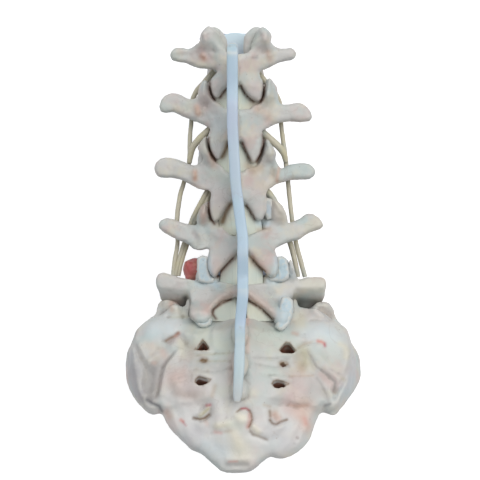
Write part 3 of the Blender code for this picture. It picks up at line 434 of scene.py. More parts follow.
def arch_depth(level, x, c):
    """p and half thickness of the arch: deep at the sides, far back at the middle and the tips."""
    side = np.abs(x)
    reach = ramp((level.iap_reach + 12 - side) / 5)
    lamina = LAMINA_SIDE_BACK + LAMINA_RISE * np.exp(-(side / LAMINA_SPREAD) ** 2)
    low = ramp((-c - 4) / 10) * reach
    high = ramp((c - 5) / 8) * reach
    depth = lamina + (LOWER_PROCESS_BACK - lamina) * low
    if level is LEVELS[0]:
        depth = depth - WEB_DROP * ramp((3.5 - c) / 12) * ramp((side - WEB_SIDE) / 3.5)
    half = ARCH_HALF + LOWER_PROCESS_MORE * low + UPPER_PROCESS_MORE * high
    return depth + (UPPER_PROCESS_BACK - depth) * high, half


def settled(px, py, place, first, depth_at, steps):
    """Point of a curved surface that a pixel shows, found in steps along the pixel's ray."""
    spot = seen_at(px, py, place, first)
    for step in range(steps):
        spot = seen_at(px, py, place, float(depth_at(spot.x, spot.y)))
    return spot


def plate(name, corners, voxel):
    """Flat plate that fills an outline of (x, c), in a fine even mesh."""
    bm = bmesh.new()
    loft(bm, [[(x, c, p) for x, c in corners] for p in (-PLATE_HALF, PLATE_HALF)])
    bmesh.ops.triangulate(bm, faces=bm.faces)
    obj = draft(bm, name)
    modify(obj, "REMESH", mode="VOXEL", voxel_size=voxel)
    return obj


def edge_curve(x, c, corners, rounding):
    """Share of its full thickness that a plate has, from 0 at its edge to 1 at the rounding."""
    inside = line_distance(x, c, corners + corners[:1])
    return np.clip(1 - (1 - np.clip(inside / rounding, 0, 1)) ** EDGE_POWER, 0, 1) ** (1 / EDGE_POWER)


def inflated(name, outline, place, depth_of, rounding, strokes=()):
    """Rounded plate that fills an outline drawn over the photograph, at a given depth."""
    spots = [settled(px, py, place, 34.0, lambda x, c: depth_of(np.array([x]), np.array([c]))[0][0], 8)
             for px, py in outline]
    corners = [(spot.x, spot.y) for spot in spots]
    obj = plate(name, corners, PLATE_VOXEL)
    points = coordinates(obj)
    x, c = points[:, 0], points[:, 1]
    roundness = edge_curve(x, c, corners, rounding)
    depth, half = depth_of(x, c)
    height = relief(np.column_stack((x, c, depth)), place, strokes) * roundness
    upper = points[:, 2] > 0
    points[:, 2] = depth + points[:, 2] / PLATE_HALF * half * roundness + np.where(upper, height, 0)
    move_points(obj, points)
    return obj


def grain(obj, scale, depth):
    """Uneven cast surface: clouds pushed along the normals."""
    texture = bpy.data.textures.new("cast", "CLOUDS")
    texture.noise_scale = scale
    texture.noise_depth = 3
    modify(obj, "DISPLACE", texture=texture, strength=depth, mid_level=0.5, texture_coords="LOCAL")


# Stains of the cast, with painted shade and painted light: a colour, a strength, a breadth in pixels and
# the pixels each runs through.
# Later ones lie over earlier ones. Dark strokes along gaps, creases, folds, hollows and the mouths of holes
# are painted shade, over brown where the cast has it, and chalk on the left laminae is painted light.
STAINS_AND_SHADE = (
    # Broad washes, painted light on the left laminae, painted shade in two small holes, and warm edges of
    # the lowest processes
    ("chalk_and_painted_light", 0.55, 34, ((190, 420), (240, 445), (285, 430))),
    ("chalk_and_painted_light", 0.4, 22, ((182, 386), (190, 400))), ("mint", 0.5, 17, ((198, 336), (226, 346))),
    ("mint", 0.5, 17, ((260, 336), (288, 346))), ("brown_and_shade", 0.9, 3, ((202.6, 360.4), (205.4, 360.4))),
    ("brown_and_shade", 0.9, 3, ((281.6, 363.8), (285.2, 363.8))), ("peach", 0.45, 5, ((232, 258), (216, 274))),
    ("peach", 0.4, 5, ((253, 258), (268, 273))),
    ("peach", 0.4, 4.5, ((232, 292), (218, 298), (207, 310))),
    ("peach", 0.4, 4.5, ((250, 294), (262, 302), (275, 316))), ("chalk_and_painted_light", 0.3, 12, ((216, 88), (212, 80))),
    ("chalk_and_painted_light", 0.5, 14, ((222, 200), (218, 190))), ("chalk_and_painted_light", 0.3, 14, ((212, 250), (222, 262))),
    ("chalk_and_painted_light", 0.3, 12, ((216, 140), (222, 128))),
    # L1, with painted shade in the gaps round its lower joint processes
    ("rose", 0.5, 4.5, ((205, 36), (205, 37))), ("rose", 0.5, 4.5, ((264, 36), (265, 38))),
    ("rust", 0.65, 2.8, ((202, 56), (204, 59))), ("rust", 0.4, 3.5, ((268, 52), (270, 60))),
    ("rose", 0.35, 5, ((198, 50), (194, 54))), ("shade", 0.45, 1.6, ((213, 50), (215, 52))),
    ("shade", 0.45, 1.6, ((254, 58), (258, 58))), ("mint", 0.5, 3.5, ((217, 36), (224, 50))),
    ("mint", 0.6, 3.5, ((256, 36), (252, 47))), ("shade", 0.3, 5, ((219, 38), (225, 53))),
    ("shade", 0.28, 4.5, ((255, 36), (252, 48))), ("rose", 0.3, 8, ((216, 88), (218, 92))),
    ("rose", 0.35, 8, ((255, 88), (257, 96))), ("cream", 0.4, 4, ((200, 64), (212, 66))),
    ("gap_brown_and_shade", 0.97, 1.7, ((209.3, 80), (209.8, 90), (212, 97), (214.5, 99.6))),
    ("gap_brown_and_shade", 0.97, 1.6, ((220, 97.5), (223.5, 92.5), (228, 87.6))),
    ("gap_brown_and_shade", 0.97, 1.8, ((264.6, 83), (264.2, 91), (262.6, 98.5), (260.5, 101.6))),
    ("gap_brown_and_shade", 0.97, 1.4, ((241, 86), (245, 94), (249.5, 98.6), (253.5, 101.6))),
    # L2
    ("rust", 0.75, 3.0, ((197, 107), (198, 113))), ("rose", 0.4, 9, ((205, 96), (204, 106))),
    ("rust", 0.3, 6, ((257, 106), (264, 112), (268, 118))), ("cream", 0.3, 5, ((190, 106), (188, 110))),
    ("bluish", 0.3, 8, ((216, 120), (222, 128))), ("rust", 0.25, 2, ((225, 137), (227, 131))),
    ("gap_brown_and_shade", 0.97, 1.7, ((208.3, 138), (208.8, 147), (211.5, 155), (215.5, 160.5))),
    ("brown_and_shade", 0.9, 2.4, ((228.4, 143), (225.6, 150), (222.5, 157))),
    ("gap_brown_and_shade", 0.97, 1.7, ((242.3, 143), (245.5, 151), (250, 160.5))),
    ("gap_brown_and_shade", 0.97, 1.8, ((263.6, 137), (263, 146), (260.5, 155), (256.5, 161.8))),
    ("gap_brown_and_shade", 0.97, 2.4, ((264, 135), (266, 138))),
    # L3
    ("rust", 0.45, 4.0, ((210, 155), (214, 166))), ("tan", 0.7, 5, ((248, 166), (254, 170), (260, 168))),
    ("rust", 0.7, 2.6, ((195, 172), (195, 179))), ("tan", 0.5, 4, ((273, 171), (273, 176))),
    ("rust", 0.55, 1.8, ((279, 168), (277, 181))), ("mint", 0.45, 8, ((215, 174), (226, 178))),
    ("cream", 0.4, 4, ((202, 142), (205, 150))), ("rose", 0.25, 12, ((258, 186), (256, 200))),
    ("rose", 0.25, 10, ((218, 196), (220, 206))),
    ("gap_brown_and_shade", 0.97, 1.6, ((208.6, 203), (208.9, 212), (211, 219), (214.5, 223.6))),
    ("brown_and_shade", 0.9, 3.0, ((230.5, 204.5), (226.5, 211), (222.5, 222))),
    ("gap_brown_and_shade", 0.97, 1.5, ((246.4, 205.5), (250.5, 211.5), (255, 219.5))),
    # L4
    ("rust", 0.4, 4, ((203, 208), (203, 222))), ("rose", 0.3, 8, ((277, 206), (281, 218))),
    ("bluish", 0.75, 4.0, ((259, 223), (267, 224))), ("tan", 0.5, 2.5, ((258, 230), (270, 229))),
    ("rose", 0.3, 5, ((194, 234), (196, 236))), ("rose", 0.45, 7, ((216, 262), (214, 270))),
    ("gap_brown_and_shade", 0.97, 1.5, ((233, 258.5), (226.5, 265), (220.5, 272), (217.5, 277))),
    ("rust", 0.5, 1.8, ((252, 257), (258, 264.5), (265, 271))),
    ("gap_brown_and_shade", 0.97, 1.4, ((253, 260), (259, 266.6), (264.6, 271.5))),
    ("bluish", 0.85, 3.6, ((212, 282), (217, 285))), ("bluish", 0.7, 4, ((269, 281), (276, 282))),
    ("bluish", 0.45, 5, ((197, 284), (203, 284))),
    # L5, and the cartilage of the lower joints
    ("cream", 0.5, 10, ((308, 284), (320, 286))), ("rose", 0.25, 9, ((165, 284), (175, 286))),
    ("rust", 0.4, 3, ((230, 297.5), (218, 303))), ("rust", 0.35, 3, ((250, 299), (262, 306.5))),
    ("gap_brown_and_shade", 0.97, 1.5, ((231, 299.3), (221, 303.6), (213.5, 309.5), (212.5, 314), (216, 319))),
    ("gap_brown_and_shade", 0.97, 1.6, ((249, 301), (258, 306.6), (266, 313), (273.5, 319.5))),
    ("cream", 0.5, 6, ((279, 206), (282, 218))),
    ("bluish", 0.6, 3, ((208.5, 258), (209, 270), (212, 277))),
    ("bluish", 0.6, 3, ((276, 258), (276, 270), (271, 276))),
    ("bluish", 0.5, 4, ((291, 264), (292, 276))),
    ("bluish", 0.5, 3, ((277, 320), (280, 308), (283, 298))), ("mint", 0.5, 5, ((199, 321), (206, 322))),
    ("bluish", 0.6, 4.5, ((200, 323), (209, 322))),
    ("bluish", 0.85, 5.5, ((286, 302), (285, 314), (282, 325))),
    ("rose", 0.3, 6, ((206, 312), (203, 306))), ("rose", 0.35, 5, ((192, 308), (193, 316))),
    # Wings of the sacrum, with painted shade in their creases
    ("rust", 0.5, 3.0, ((171.5, 303), (172, 310))), ("cream", 0.45, 5, ((176, 312), (184, 314))),
    ("olive", 0.45, 1.5, ((171, 317.2), (188, 316.8))), ("frost", 0.55, 12, ((152, 328), (172, 328))),
    ("frost", 0.6, 13, ((312, 331), (332, 336))), ("cream", 0.6, 6, ((301, 316), (302, 324))),
    ("rose", 0.35, 9, ((322, 310), (328, 314))), ("mint", 0.35, 14, ((330, 350), (334, 358))),
    ("brown_and_shade", 0.85, 1.8, ((166, 341), (170, 338.4), (175, 336), (178, 333))),
    ("coral", 0.35, 2.0, ((176, 336), (179, 333.5))), ("rose", 0.4, 3.5, ((170, 342), (178, 338))),
    ("tan", 0.35, 4.5, ((186, 345), (193, 347))), ("cream", 0.55, 4, ((180, 342), (183, 356))),
    ("cream", 0.35, 5, ((146, 345), (158, 348))), ("tan", 0.3, 5, ((190, 353), (192, 357))),
    ("peach", 0.4, 4, ((163, 352), (165, 356))),
    # Side faces of the sacrum, with painted shade in the hollow and the creases
    ("lilac", 0.6, 9, ((131, 358), (134, 376), (140, 394))), ("shade", 0.45, 9, ((134, 366), (143, 396))),
    ("shade", 0.5, 2.6, ((136, 346), (145, 366), (144, 386))),
    ("shade", 0.92, 7, ((153, 368), (151.5, 397))),
    ("shade", 0.55, 1.8, ((170, 357), (163, 365), (159.4, 378), (157, 394))),
    ("painted_crease_shade", 0.85, 1.8, ((147, 400), (153, 403.4), (159, 406), (162, 411))),
    ("lilac", 0.35, 9, ((353, 362), (348, 384))), ("bluish", 0.35, 8, ((346, 392), (352, 380))),
    # Crease and folds of the right wing, their dark lines painted shade
    ("coral", 0.8, 1.9, ((318, 341), (321, 341.6), (323.5, 343))),
    ("crimson", 0.8, 1.5, ((324.6, 344), (325, 346))), ("rust", 0.4, 2.2, ((293, 333), (297, 334))),
    ("olive", 0.65, 6, ((304, 350), (305, 362))), ("olive", 0.4, 2.6, ((343, 379), (344, 380))),
    ("cream", 0.6, 3, ((340, 344), (345, 347), (346, 357))),
    ("shade", 0.7, 1.5, ((311, 356), (317, 366.5), (326, 373.6), (335, 382), (334, 391))),
    ("shade", 0.5, 1.4, ((317, 378), (322, 385), (326, 393), (328, 401))),
    ("painted_crease_shade", 0.6, 1.7, ((325.5, 405.4), (330, 404))), ("shade", 0.3, 1.4, ((330, 369), (341, 374.5))),
    ("shade", 0.25, 6, ((322, 392), (328, 396))),
    ("tan", 0.4, 1.6, ((298, 348), (305, 343.6), (312, 342))), ("tan", 0.45, 3, ((302, 368), (303, 371))),
    ("tan", 0.45, 1.2, ((291, 376.3), (313, 375.6))), ("tan", 0.4, 5, ((298, 356), (300, 372))),
    # Folds beside the crest, their dark lines painted shade
    ("olive", 0.35, 1.2, ((197, 355.4), (230, 353))), ("olive", 0.35, 1.2, ((197, 361.2), (230, 361))),
    ("shade", 0.3, 1.3, ((254, 357.2), (289, 358.6))),
    ("shade", 0.3, 1.3, ((256, 364), (276, 367), (290, 366))),
    ("mint", 0.45, 9, ((262, 336), (276, 334))), ("mint", 0.4, 6, ((266, 372), (284, 374))),
    ("mint", 0.3, 7, ((216, 342), (224, 348))), ("shade", 0.12, 8, ((222, 325), (228, 345))),
    ("shade", 0.2, 7, ((200, 366), (222, 368))),
    # Lower half of the back
    ("rose", 0.5, 16, ((178, 378), (190, 390))), ("rose", 0.55, 15, ((300, 386), (294, 400))),
    ("peach", 0.3, 8, ((174, 378), (182, 374))), ("rose", 0.35, 4, ((232, 356), (232, 366))),
    ("peach", 0.35, 4, ((231, 370), (231, 382))), ("coral", 0.25, 2.0, ((247.6, 317), (247.6, 324))),
    ("peach", 0.5, 2.4, ((247.4, 338), (247.6, 352))), ("cream", 0.35, 6, ((222, 392), (230, 390))),
    ("cream", 0.4, 5, ((252, 393), (254, 393))), ("tan", 0.45, 2.6, ((215, 386), (212, 396))),
    ("brown_and_shade", 0.25, 4, ((176, 394), (194, 396))),
    ("rust", 0.35, 1.6, ((289, 405), (297, 406.6), (308, 405.4))),
    ("peach", 0.45, 9, ((298, 410), (310, 406))), ("tan", 0.4, 1.8, ((264, 405), (270, 406.6))),
    # Lower openings, horns and tip, with painted shade in the grooves and on the end face of the tip
    ("crimson", 0.75, 1.7, ((206.6, 405.6), (210, 405))),
    ("brown_and_shade", 0.9, 1.5, ((194, 418), (200, 419.2), (205, 418), (209, 414.5))),
    ("olive", 0.95, 2.0, ((200, 415.6), (204, 412.4), (208, 408.6))),
    ("brown_and_shade", 0.7, 1.5, ((269.8, 411), (270.4, 416))), ("peach", 0.75, 4.0, ((275, 415), (278, 419))),
    ("brown_and_shade", 0.9, 1.4, ((270, 420), (272.4, 423.3), (276, 424.6), (280.4, 421.8), (287, 419.6))),
    ("coral", 0.7, 1.8, ((181, 420), (183, 421.4))), ("crimson", 0.5, 1.1, ((183, 422), (186, 425.6))),
    ("peach", 0.6, 6, ((303, 418), (307, 427))), ("coral", 0.35, 2.6, ((305, 419), (306, 424))),
    ("peach", 0.45, 4, ((167, 412), (169, 416))), ("peach", 0.4, 2.5, ((206, 422), (207, 424))),
    ("ivory", 0.9, 4, ((217, 426), (229, 424))), ("ivory", 0.7, 6, ((234, 433), (239, 444))),
    ("ivory", 0.85, 3.2, ((253, 427), (258, 432))), ("cream", 0.5, 12, ((238, 450), (240, 456))),
    ("ivory", 0.85, 5, ((239, 417), (243, 418))), ("coral", 0.4, 2, ((215, 432), (221, 433))),
    ("tan", 0.4, 1.8, ((225, 431.6), (231, 431))), ("mint", 0.5, 6, ((232, 424), (240, 426))),
    ("crimson", 0.85, 1.3, ((241.5, 408.6), (246, 408.3), (249, 410.4))),
    ("brown_and_shade", 0.8, 1.1, ((237, 411.6), (240, 409.4))),
    ("brown_and_shade", 0.8, 1.2, ((249.6, 410.6), (251.6, 415), (252, 420), (250.4, 424), (249, 427))),
    ("coral", 0.45, 2.0, ((249.4, 414), (249.6, 419), (247.5, 427))),
    ("brown_and_shade", 0.5, 1.3, ((250, 431), (253.5, 434.6), (259, 436.2), (267, 439.6))),
    ("shade", 0.85, 2.7, ((227, 464.6), (247, 464.6))), ("coral", 0.5, 1.2, ((229, 461.6), (237, 461.4))),
    ("bluish", 0.4, 10, ((205, 446), (222, 452))), ("lilac", 0.4, 12, ((278, 432), (284, 442))),
    ("lilac", 0.35, 10, ((190, 438), (196, 432))), ("gap_brown_and_shade", 0.55, 1.3, ((297, 437.6), (297.8, 438))),
    ("shade", 0.35, 1.4, ((294, 443.5), (294.6, 444))), ("shade", 0.4, 1.3, ((178.6, 378), (179, 378.4))),
    ("bluish", 0.3, 3, ((328, 333), (329, 334))), ("peach", 0.4, 2.2, ((153, 362.6), (155, 363))),
)
# Painted shade on the underside of the transverse processes of L5, in front of the knobs of the sacrum
UNDERSIDE_SHADE = (
    ("painted_underside_shade", 0.55, 5.0, ((164, 302), (176, 302), (184, 302))),
    ("painted_underside_shade", 0.9, 4.0, ((176, 309), (184, 308))),
    ("painted_underside_shade", 0.95, 3.0, ((185.5, 298), (187, 308), (187.5, 316))),
    ("painted_underside_shade", 0.9, 4.5, ((299, 305), (304, 311), (314, 308))),
    ("painted_underside_shade", 0.7, 5.0, ((293, 299), (306, 302), (320, 302))),
)
# Colours of the stains and of painted shade and light. The darkest ones, for the gaps, creases, the
# underside of L5 and the holes of the sacrum, are painted shade, the browns over brown that the cast has
# there, and chalk is partly painted light.
STAIN_AND_SHADE_COLOURS = {
    "rose": (0.60, 0.44, 0.41), "rust": (0.58, 0.31, 0.20), "tan": (0.47, 0.36, 0.25),
    "cream": (0.70, 0.66, 0.52), "bluish": (0.52, 0.63, 0.68), "mint": (0.56, 0.63, 0.55),
    "lilac": (0.49, 0.48, 0.52), "shade": (0.33, 0.32, 0.31), "painted_crease_shade": (0.16, 0.16, 0.17),
    "gap_brown_and_shade": (0.125, 0.055, 0.03), "brown_and_shade": (0.17, 0.09, 0.03), "coral": (0.66, 0.25, 0.20),
    "crimson": (0.45, 0.08, 0.10), "peach": (0.68, 0.45, 0.36), "olive": (0.47, 0.43, 0.27),
    "painted_underside_shade": (0.095, 0.095, 0.078), "chalk_and_painted_light": (0.76, 0.75, 0.73), "frost": (0.66, 0.75, 0.78),
    "painted_pit_shade": (0.20, 0.075, 0.045), "ivory": (0.80, 0.75, 0.61), "bone": (0.585, 0.575, 0.55),
}
PAINT_FROM = 6               # p where the paint starts, and where it is full
PAINT_FULL = 12
LEAST_COVER = 1e-5
CREASE_STEPS = 4             # rounds of smoothing that a crease and a hollow are measured against
HOLLOW_STEPS = 40
CREASE_RANGE = 1.2           # millimetres from the highest to the lowest value that is kept
HOLLOW_RANGE = 3


def hollowness(obj, steps):
    """How far, in millimetres, each point lies below its surroundings, above 0 in a hollow."""
    mesh = obj.data
    edges = np.empty(len(mesh.edges) * 2, np.int32)
    mesh.edges.foreach_get("vertices", edges)
    ends = edges.reshape(-1, 2)
    start, count = coordinates(obj), len(mesh.vertices)
    near = np.bincount(edges, minlength=count)[:, None]
    points = start.copy()
    for step in range(steps):
        total = [np.bincount(ends[:, 0], points[ends[:, 1], axis], count)
                 + np.bincount(ends[:, 1], points[ends[:, 0], axis], count) for axis in range(3)]
        points = 0.4 * points + 0.6 * np.column_stack(total) / near
    return np.sum((points - start) * directions(obj), axis=1)


def keep_colours(obj, name, columns):
    layer = obj.data.color_attributes.new(name, "FLOAT_COLOR", "POINT")
    layer.data.foreach_set("color", np.column_stack(columns).ravel())


def paint(obj, place, stains_and_shade, sunk=0.0):
    """Lays stained colour, painted shade and painted light on the back of a piece, as a colour and how much
    of it covers the cast; keeps crease and hollow depth for painted shade and highlight.
    """
    points = coordinates(obj)
    px, py = photo_points(points, place)
    facing = (ramp((directions(obj)[:, 2] + 0.35) / 0.4)
              * ramp((points[:, 2] - PAINT_FROM) / (PAINT_FULL - PAINT_FROM)))
    colour = np.ones((len(points), 3))
    cover = np.zeros(len(points))
    for name, strength, breadth, line in stains_and_shade:
        mask = strength * np.exp(-(line_distance(px, py, line) / breadth) ** 2) * facing
        total = cover + mask * (1 - cover)
        share = np.where(total > LEAST_COVER, mask / np.maximum(total, LEAST_COVER), 0)[:, None]
        colour = colour * (1 - share) + np.array(STAIN_AND_SHADE_COLOURS[name]) * share
        cover = total
    # Painted shade down the walls of the holes, as much as sunk gives
    share = (sunk + 0 * cover)[:, None]
    colour = colour * (1 - share) + np.array(STAIN_AND_SHADE_COLOURS["painted_pit_shade"]) * share
    keep_colours(obj, "stain", (colour, np.maximum(cover, share[:, 0])))
    # How far each point lies in a crease and in a hollow, for painted shade and grime in them and painted
    # highlight on ridges
    crease = np.clip(0.5 + hollowness(obj, CREASE_STEPS) / CREASE_RANGE, 0, 1)
    hollow = np.clip(0.5 + hollowness(obj, HOLLOW_STEPS) / HOLLOW_RANGE, 0, 1)
    keep_colours(obj, "form", (crease, hollow, 0 * crease, 1 + 0 * crease))


def new_material(name, roughness):
    material = bpy.data.materials.new(name)
    material.use_nodes = True
    shader = material.node_tree.nodes["Principled BSDF"]
    shader.inputs["Roughness"].default_value = roughness
    return material, material.node_tree, shader.inputs


def effect_group(name, inputs, outputs):
    """New node group, with the sockets that bring in its inputs and take out its results."""
    group = bpy.data.node_groups.new(name, "ShaderNodeTree")
    for label, kind, value in inputs:
        socket = group.interface.new_socket(name=label, in_out="INPUT", socket_type=kind)
        socket.default_value = value
    for label, kind in outputs:
        group.interface.new_socket(name=label, in_out="OUTPUT", socket_type=kind)
    return group, group.nodes.new("NodeGroupInput").outputs, group.nodes.new("NodeGroupOutput").inputs


def node(tree, kind, inputs=(), **settings):
    """New shader node, whose inputs take plain values or other nodes' sockets; gives its outputs."""
    made = tree.nodes.new("ShaderNode" + kind)
    for name, value in settings.items():
        setattr(made, name, value)
    for label, value in dict(inputs).items():
        if isinstance(value, bpy.types.NodeSocket):
            tree.links.new(value, made.inputs[label])
        else:
            made.inputs[label].default_value = value
    return made.outputs


def maths(tree, operation, *values):
    return node(tree, "Math", enumerate(values), operation=operation)["Value"]


def graded(tree, value, low, high, most=1.0):
    """0 at the low value, rising or falling to the most at the high one."""
    return node(tree, "MapRange",
                {"Value": value, "From Min": low, "From Max": high, "To Max": most})["Result"]


def mixed(tree, share, first, second):
    """First colour, with a share of the second over it."""
    return node(tree, "Mix", {0: share, 6: first, 7: second}, data_type="RGBA", clamp_factor=True)[2]


# Blotches: two soft clouds of tint over a base colour, the way a hand-washed cast dries
blotches, given, result = effect_group(
    "Blotches",
    (("Base", "NodeSocketColor", (0.6, 0.6, 0.57, 1)), ("First", "NodeSocketColor", (0.6, 0.5, 0.46, 1)),
     ("Second", "NodeSocketColor", (0.5, 0.6, 0.6, 1)), ("Scale", "NodeSocketFloat", 60.0),
     ("Amount", "NodeSocketFloat", 0.6), ("Seed", "NodeSocketFloat", 0.0)),
    (("Color", "NodeSocketColor"), ("Mottle", "NodeSocketFloat")))
spots = node(blotches, "TexCoord")["Object"]
colour = given["Base"]
for label, step, low, high in (("First", 0.0, 0.50, 0.64), ("Second", 7.0, 0.51, 0.65)):
    cloud = node(blotches, "TexNoise",
                 {"Vector": spots, "Scale": given["Scale"], "Detail": 3.0, "Roughness": 0.5,
                  "W": maths(blotches, "ADD", given["Seed"], step)}, noise_dimensions="4D")["Fac"]
    share = maths(blotches, "MULTIPLY", graded(blotches, cloud, low, high), given["Amount"])
    colour = mixed(blotches, share, colour, given[label])
blotches.links.new(colour, result["Color"])
blotches.links.new(cloud, result["Mottle"])

# Cast skin: the fine tooth and pin holes that poured resin keeps
cast_skin, given, result = effect_group(
    "Cast skin", (("Tooth", "NodeSocketFloat", 900.0), ("Depth", "NodeSocketFloat", 0.3)),
    (("Normal", "NodeSocketVector"), ("Marks", "NodeSocketFloat")))
spots = node(cast_skin, "TexCoord")["Object"]
tooth = node(cast_skin, "TexNoise", {"Vector": spots, "Scale": given["Tooth"], "Detail": 5.0})["Fac"]
wrinkle = node(cast_skin, "TexNoise", {"Vector": spots, "Scale": 220.0, "Distortion": 0.8})["Fac"]
holes = node(cast_skin, "TexVoronoi", {"Vector": spots, "Scale": 330.0})
height = maths(cast_skin, "ADD", maths(cast_skin, "MULTIPLY_ADD", wrinkle, 2.2, tooth),
               graded(cast_skin, holes["Distance"], 0.04, 0.14))
bump = node(cast_skin, "Bump", {"Height": height, "Strength": given["Depth"], "Distance": 0.0003})["Normal"]
cast_skin.links.new(bump, result["Normal"])

# Marks: a few dark specks, and hairline creases where one cloud crosses its middle value
chance = node(cast_skin, "SeparateColor", {"Color": holes["Color"]})["Red"]
few = maths(cast_skin, "GREATER_THAN", chance, 0.86)
specks = maths(cast_skin, "MULTIPLY", few, graded(cast_skin, holes["Distance"], 0.16, 0.05))
cloud = node(cast_skin, "TexNoise",
             {"Vector": spots, "Scale": 42.0, "Detail": 4.0, "Distortion": 1.6})["Fac"]
away = maths(cast_skin, "ABSOLUTE", maths(cast_skin, "SUBTRACT", cloud, 0.5))
patch = node(cast_skin, "TexNoise", {"Vector": spots, "Scale": 70.0})["Fac"]
hairs = maths(cast_skin, "MULTIPLY", graded(cast_skin, away, 0.02, 0.002, 0.4),
              graded(cast_skin, patch, 0.5, 0.62))
cast_skin.links.new(maths(cast_skin, "MAXIMUM", specks, hairs), result["Marks"])

# Tints of the stained pieces, then how dark the marks are, with painted shade in broad hollows, painted
# shade with grime in fine creases and painted highlight on fine ridges: a channel of that layer, the values
# between which it works, a colour and the most of it
CREAM_TINT = (0.64, 0.60, 0.49, 1)
GREEN_TINT = (0.52, 0.57, 0.545, 1)
MARK_COLOUR = (0.27, 0.20, 0.15, 1)
MARK_SHARE = 0.4
GRIME_SHADE_AND_HIGHLIGHT_TONES = (
    ("Green", 0.6, 1.0, (0.20, 0.18, 0.15, 1), 0.35), ("Red", 0.54, 0.9, (0.15, 0.10, 0.07, 1), 0.7),
    ("Red", 0.46, 0.25, (0.72, 0.69, 0.62, 1), 0.6),
)


def washed_material(name, base, first, second, scale, amount, roughness, depth, stained=False, tint=0.0):
    """Cast plastic with blotches, tooth and, where it is painted, stained colour with painted shade and
    light, and painted shade and highlight by the depth of creases and hollows.
    """
    material, tree, shader = new_material(name, roughness)
    wash = node(tree, "Group", {"Base": (*base, 1), "First": (*first, 1), "Second": (*second, 1),
                                "Scale": scale, "Amount": amount}, node_tree=blotches)
    skin = node(tree, "Group", {"Depth": depth}, node_tree=cast_skin)
    colour = wash["Color"]
    if stained:
        colour = node(tree, "Group", {"Base": colour, "First": CREAM_TINT, "Second": GREEN_TINT,
                                      "Scale": scale * 1.5, "Amount": tint, "Seed": 3.0},
                      node_tree=blotches)["Color"]
        stain = node(tree, "VertexColor", layer_name="stain")
        form = node(tree, "SeparateColor", {"Color": node(tree, "VertexColor", layer_name="form")["Color"]})
        colour = mixed(tree, stain["Alpha"], colour, stain["Color"])
        colour = mixed(tree, maths(tree, "MULTIPLY", skin["Marks"], MARK_SHARE), colour, MARK_COLOUR)
        for channel, low, high, tone, most in GRIME_SHADE_AND_HIGHLIGHT_TONES:
            colour = mixed(tree, graded(tree, form[channel], low, high, most), colour, tone)
    rough = node(tree, "MapRange", {"Value": wash["Mottle"], "To Min": roughness - 0.1,
                                    "To Max": roughness + 0.12})["Result"]
    for label, socket in (("Roughness", rough), ("Base Color", colour), ("Normal", skin["Normal"])):
        tree.links.new(socket, shader[label])
    return material


bone_material = washed_material("Washed cast bone", (0.585, 0.575, 0.55), (0.60, 0.47, 0.435),
                                (0.48, 0.575, 0.56), 60.0, 0.75, 0.48, 0.16, stained=True, tint=0.7)

for level in LEVELS:
    place = places[level.name]
    bm = bmesh.new()
    loft(bm, body_rings(level))
    for side in (-1, 1):
        limb(bm, (((side * PEDICLE_SIDE, PEDICLE_RISE, level.depth / 2 - 7), 4.6, 7.0),
                  ((side * PEDICLE_SIDE, PEDICLE_RISE, ARCH_BACK - 8), 4.3, 6.4),
                  ((side * (PEDICLE_SIDE + 0.5), PEDICLE_RISE - 1, ARCH_BACK), 4.8, 6.6)), UPRIGHT)
        # Floor of the joint, low between the upper joint process and the lamina; the painted shade of the
        # gap lies on it
        swelling(bm, (side * (level.iap_reach + 1.5), 9, 29.5),
                 LOWEST_FLOORS[side] if level is LEVELS[0] else JOINT_FLOOR)
    middle, half = spine_span(level)
    halfway = (CANAL_BACK + level.spine_back) / 2
    limb(bm, (((0, middle, CANAL_BACK - 1), 3.2, half + 1),
              ((level.spine_side * 0.5, middle - 0.5, halfway), 2.3, half * 0.9),
              ((level.spine_side, middle - 1, level.spine_back - 1.3), 2.7, half)), UPRIGHT)
    core = draft(bm, "core")
    arch = inflated("arch", ARCH_OUTLINES[level.name], place,
                    lambda x, c: arch_depth(level, x, c), ARCH_ROUNDING, ARCH_RELIEF[level.name])
    vertebra = join("bone_" + level.name, [core, arch])
    modify(vertebra, "REMESH", mode="VOXEL", voxel_size=BONE_VOXEL)
    modify(vertebra, "SMOOTH", iterations=2, factor=0.5)
    for scale, depth in BONE_GRAIN:
        grain(vertebra, scale, depth)
    paint(vertebra, place, STAINS_AND_SHADE + UNDERSIDE_SHADE if level is LEVELS[0] else STAINS_AND_SHADE)
    lay(vertebra, place, bone_material, "bone", "vertebra_" + level.name)


# Sacrum
# One cast wedge, drawn like the arches: an outline filled between a front and a back surface,
# with the fused bodies in front of it. Ridges and folds are drawn on, and the holes are cut.

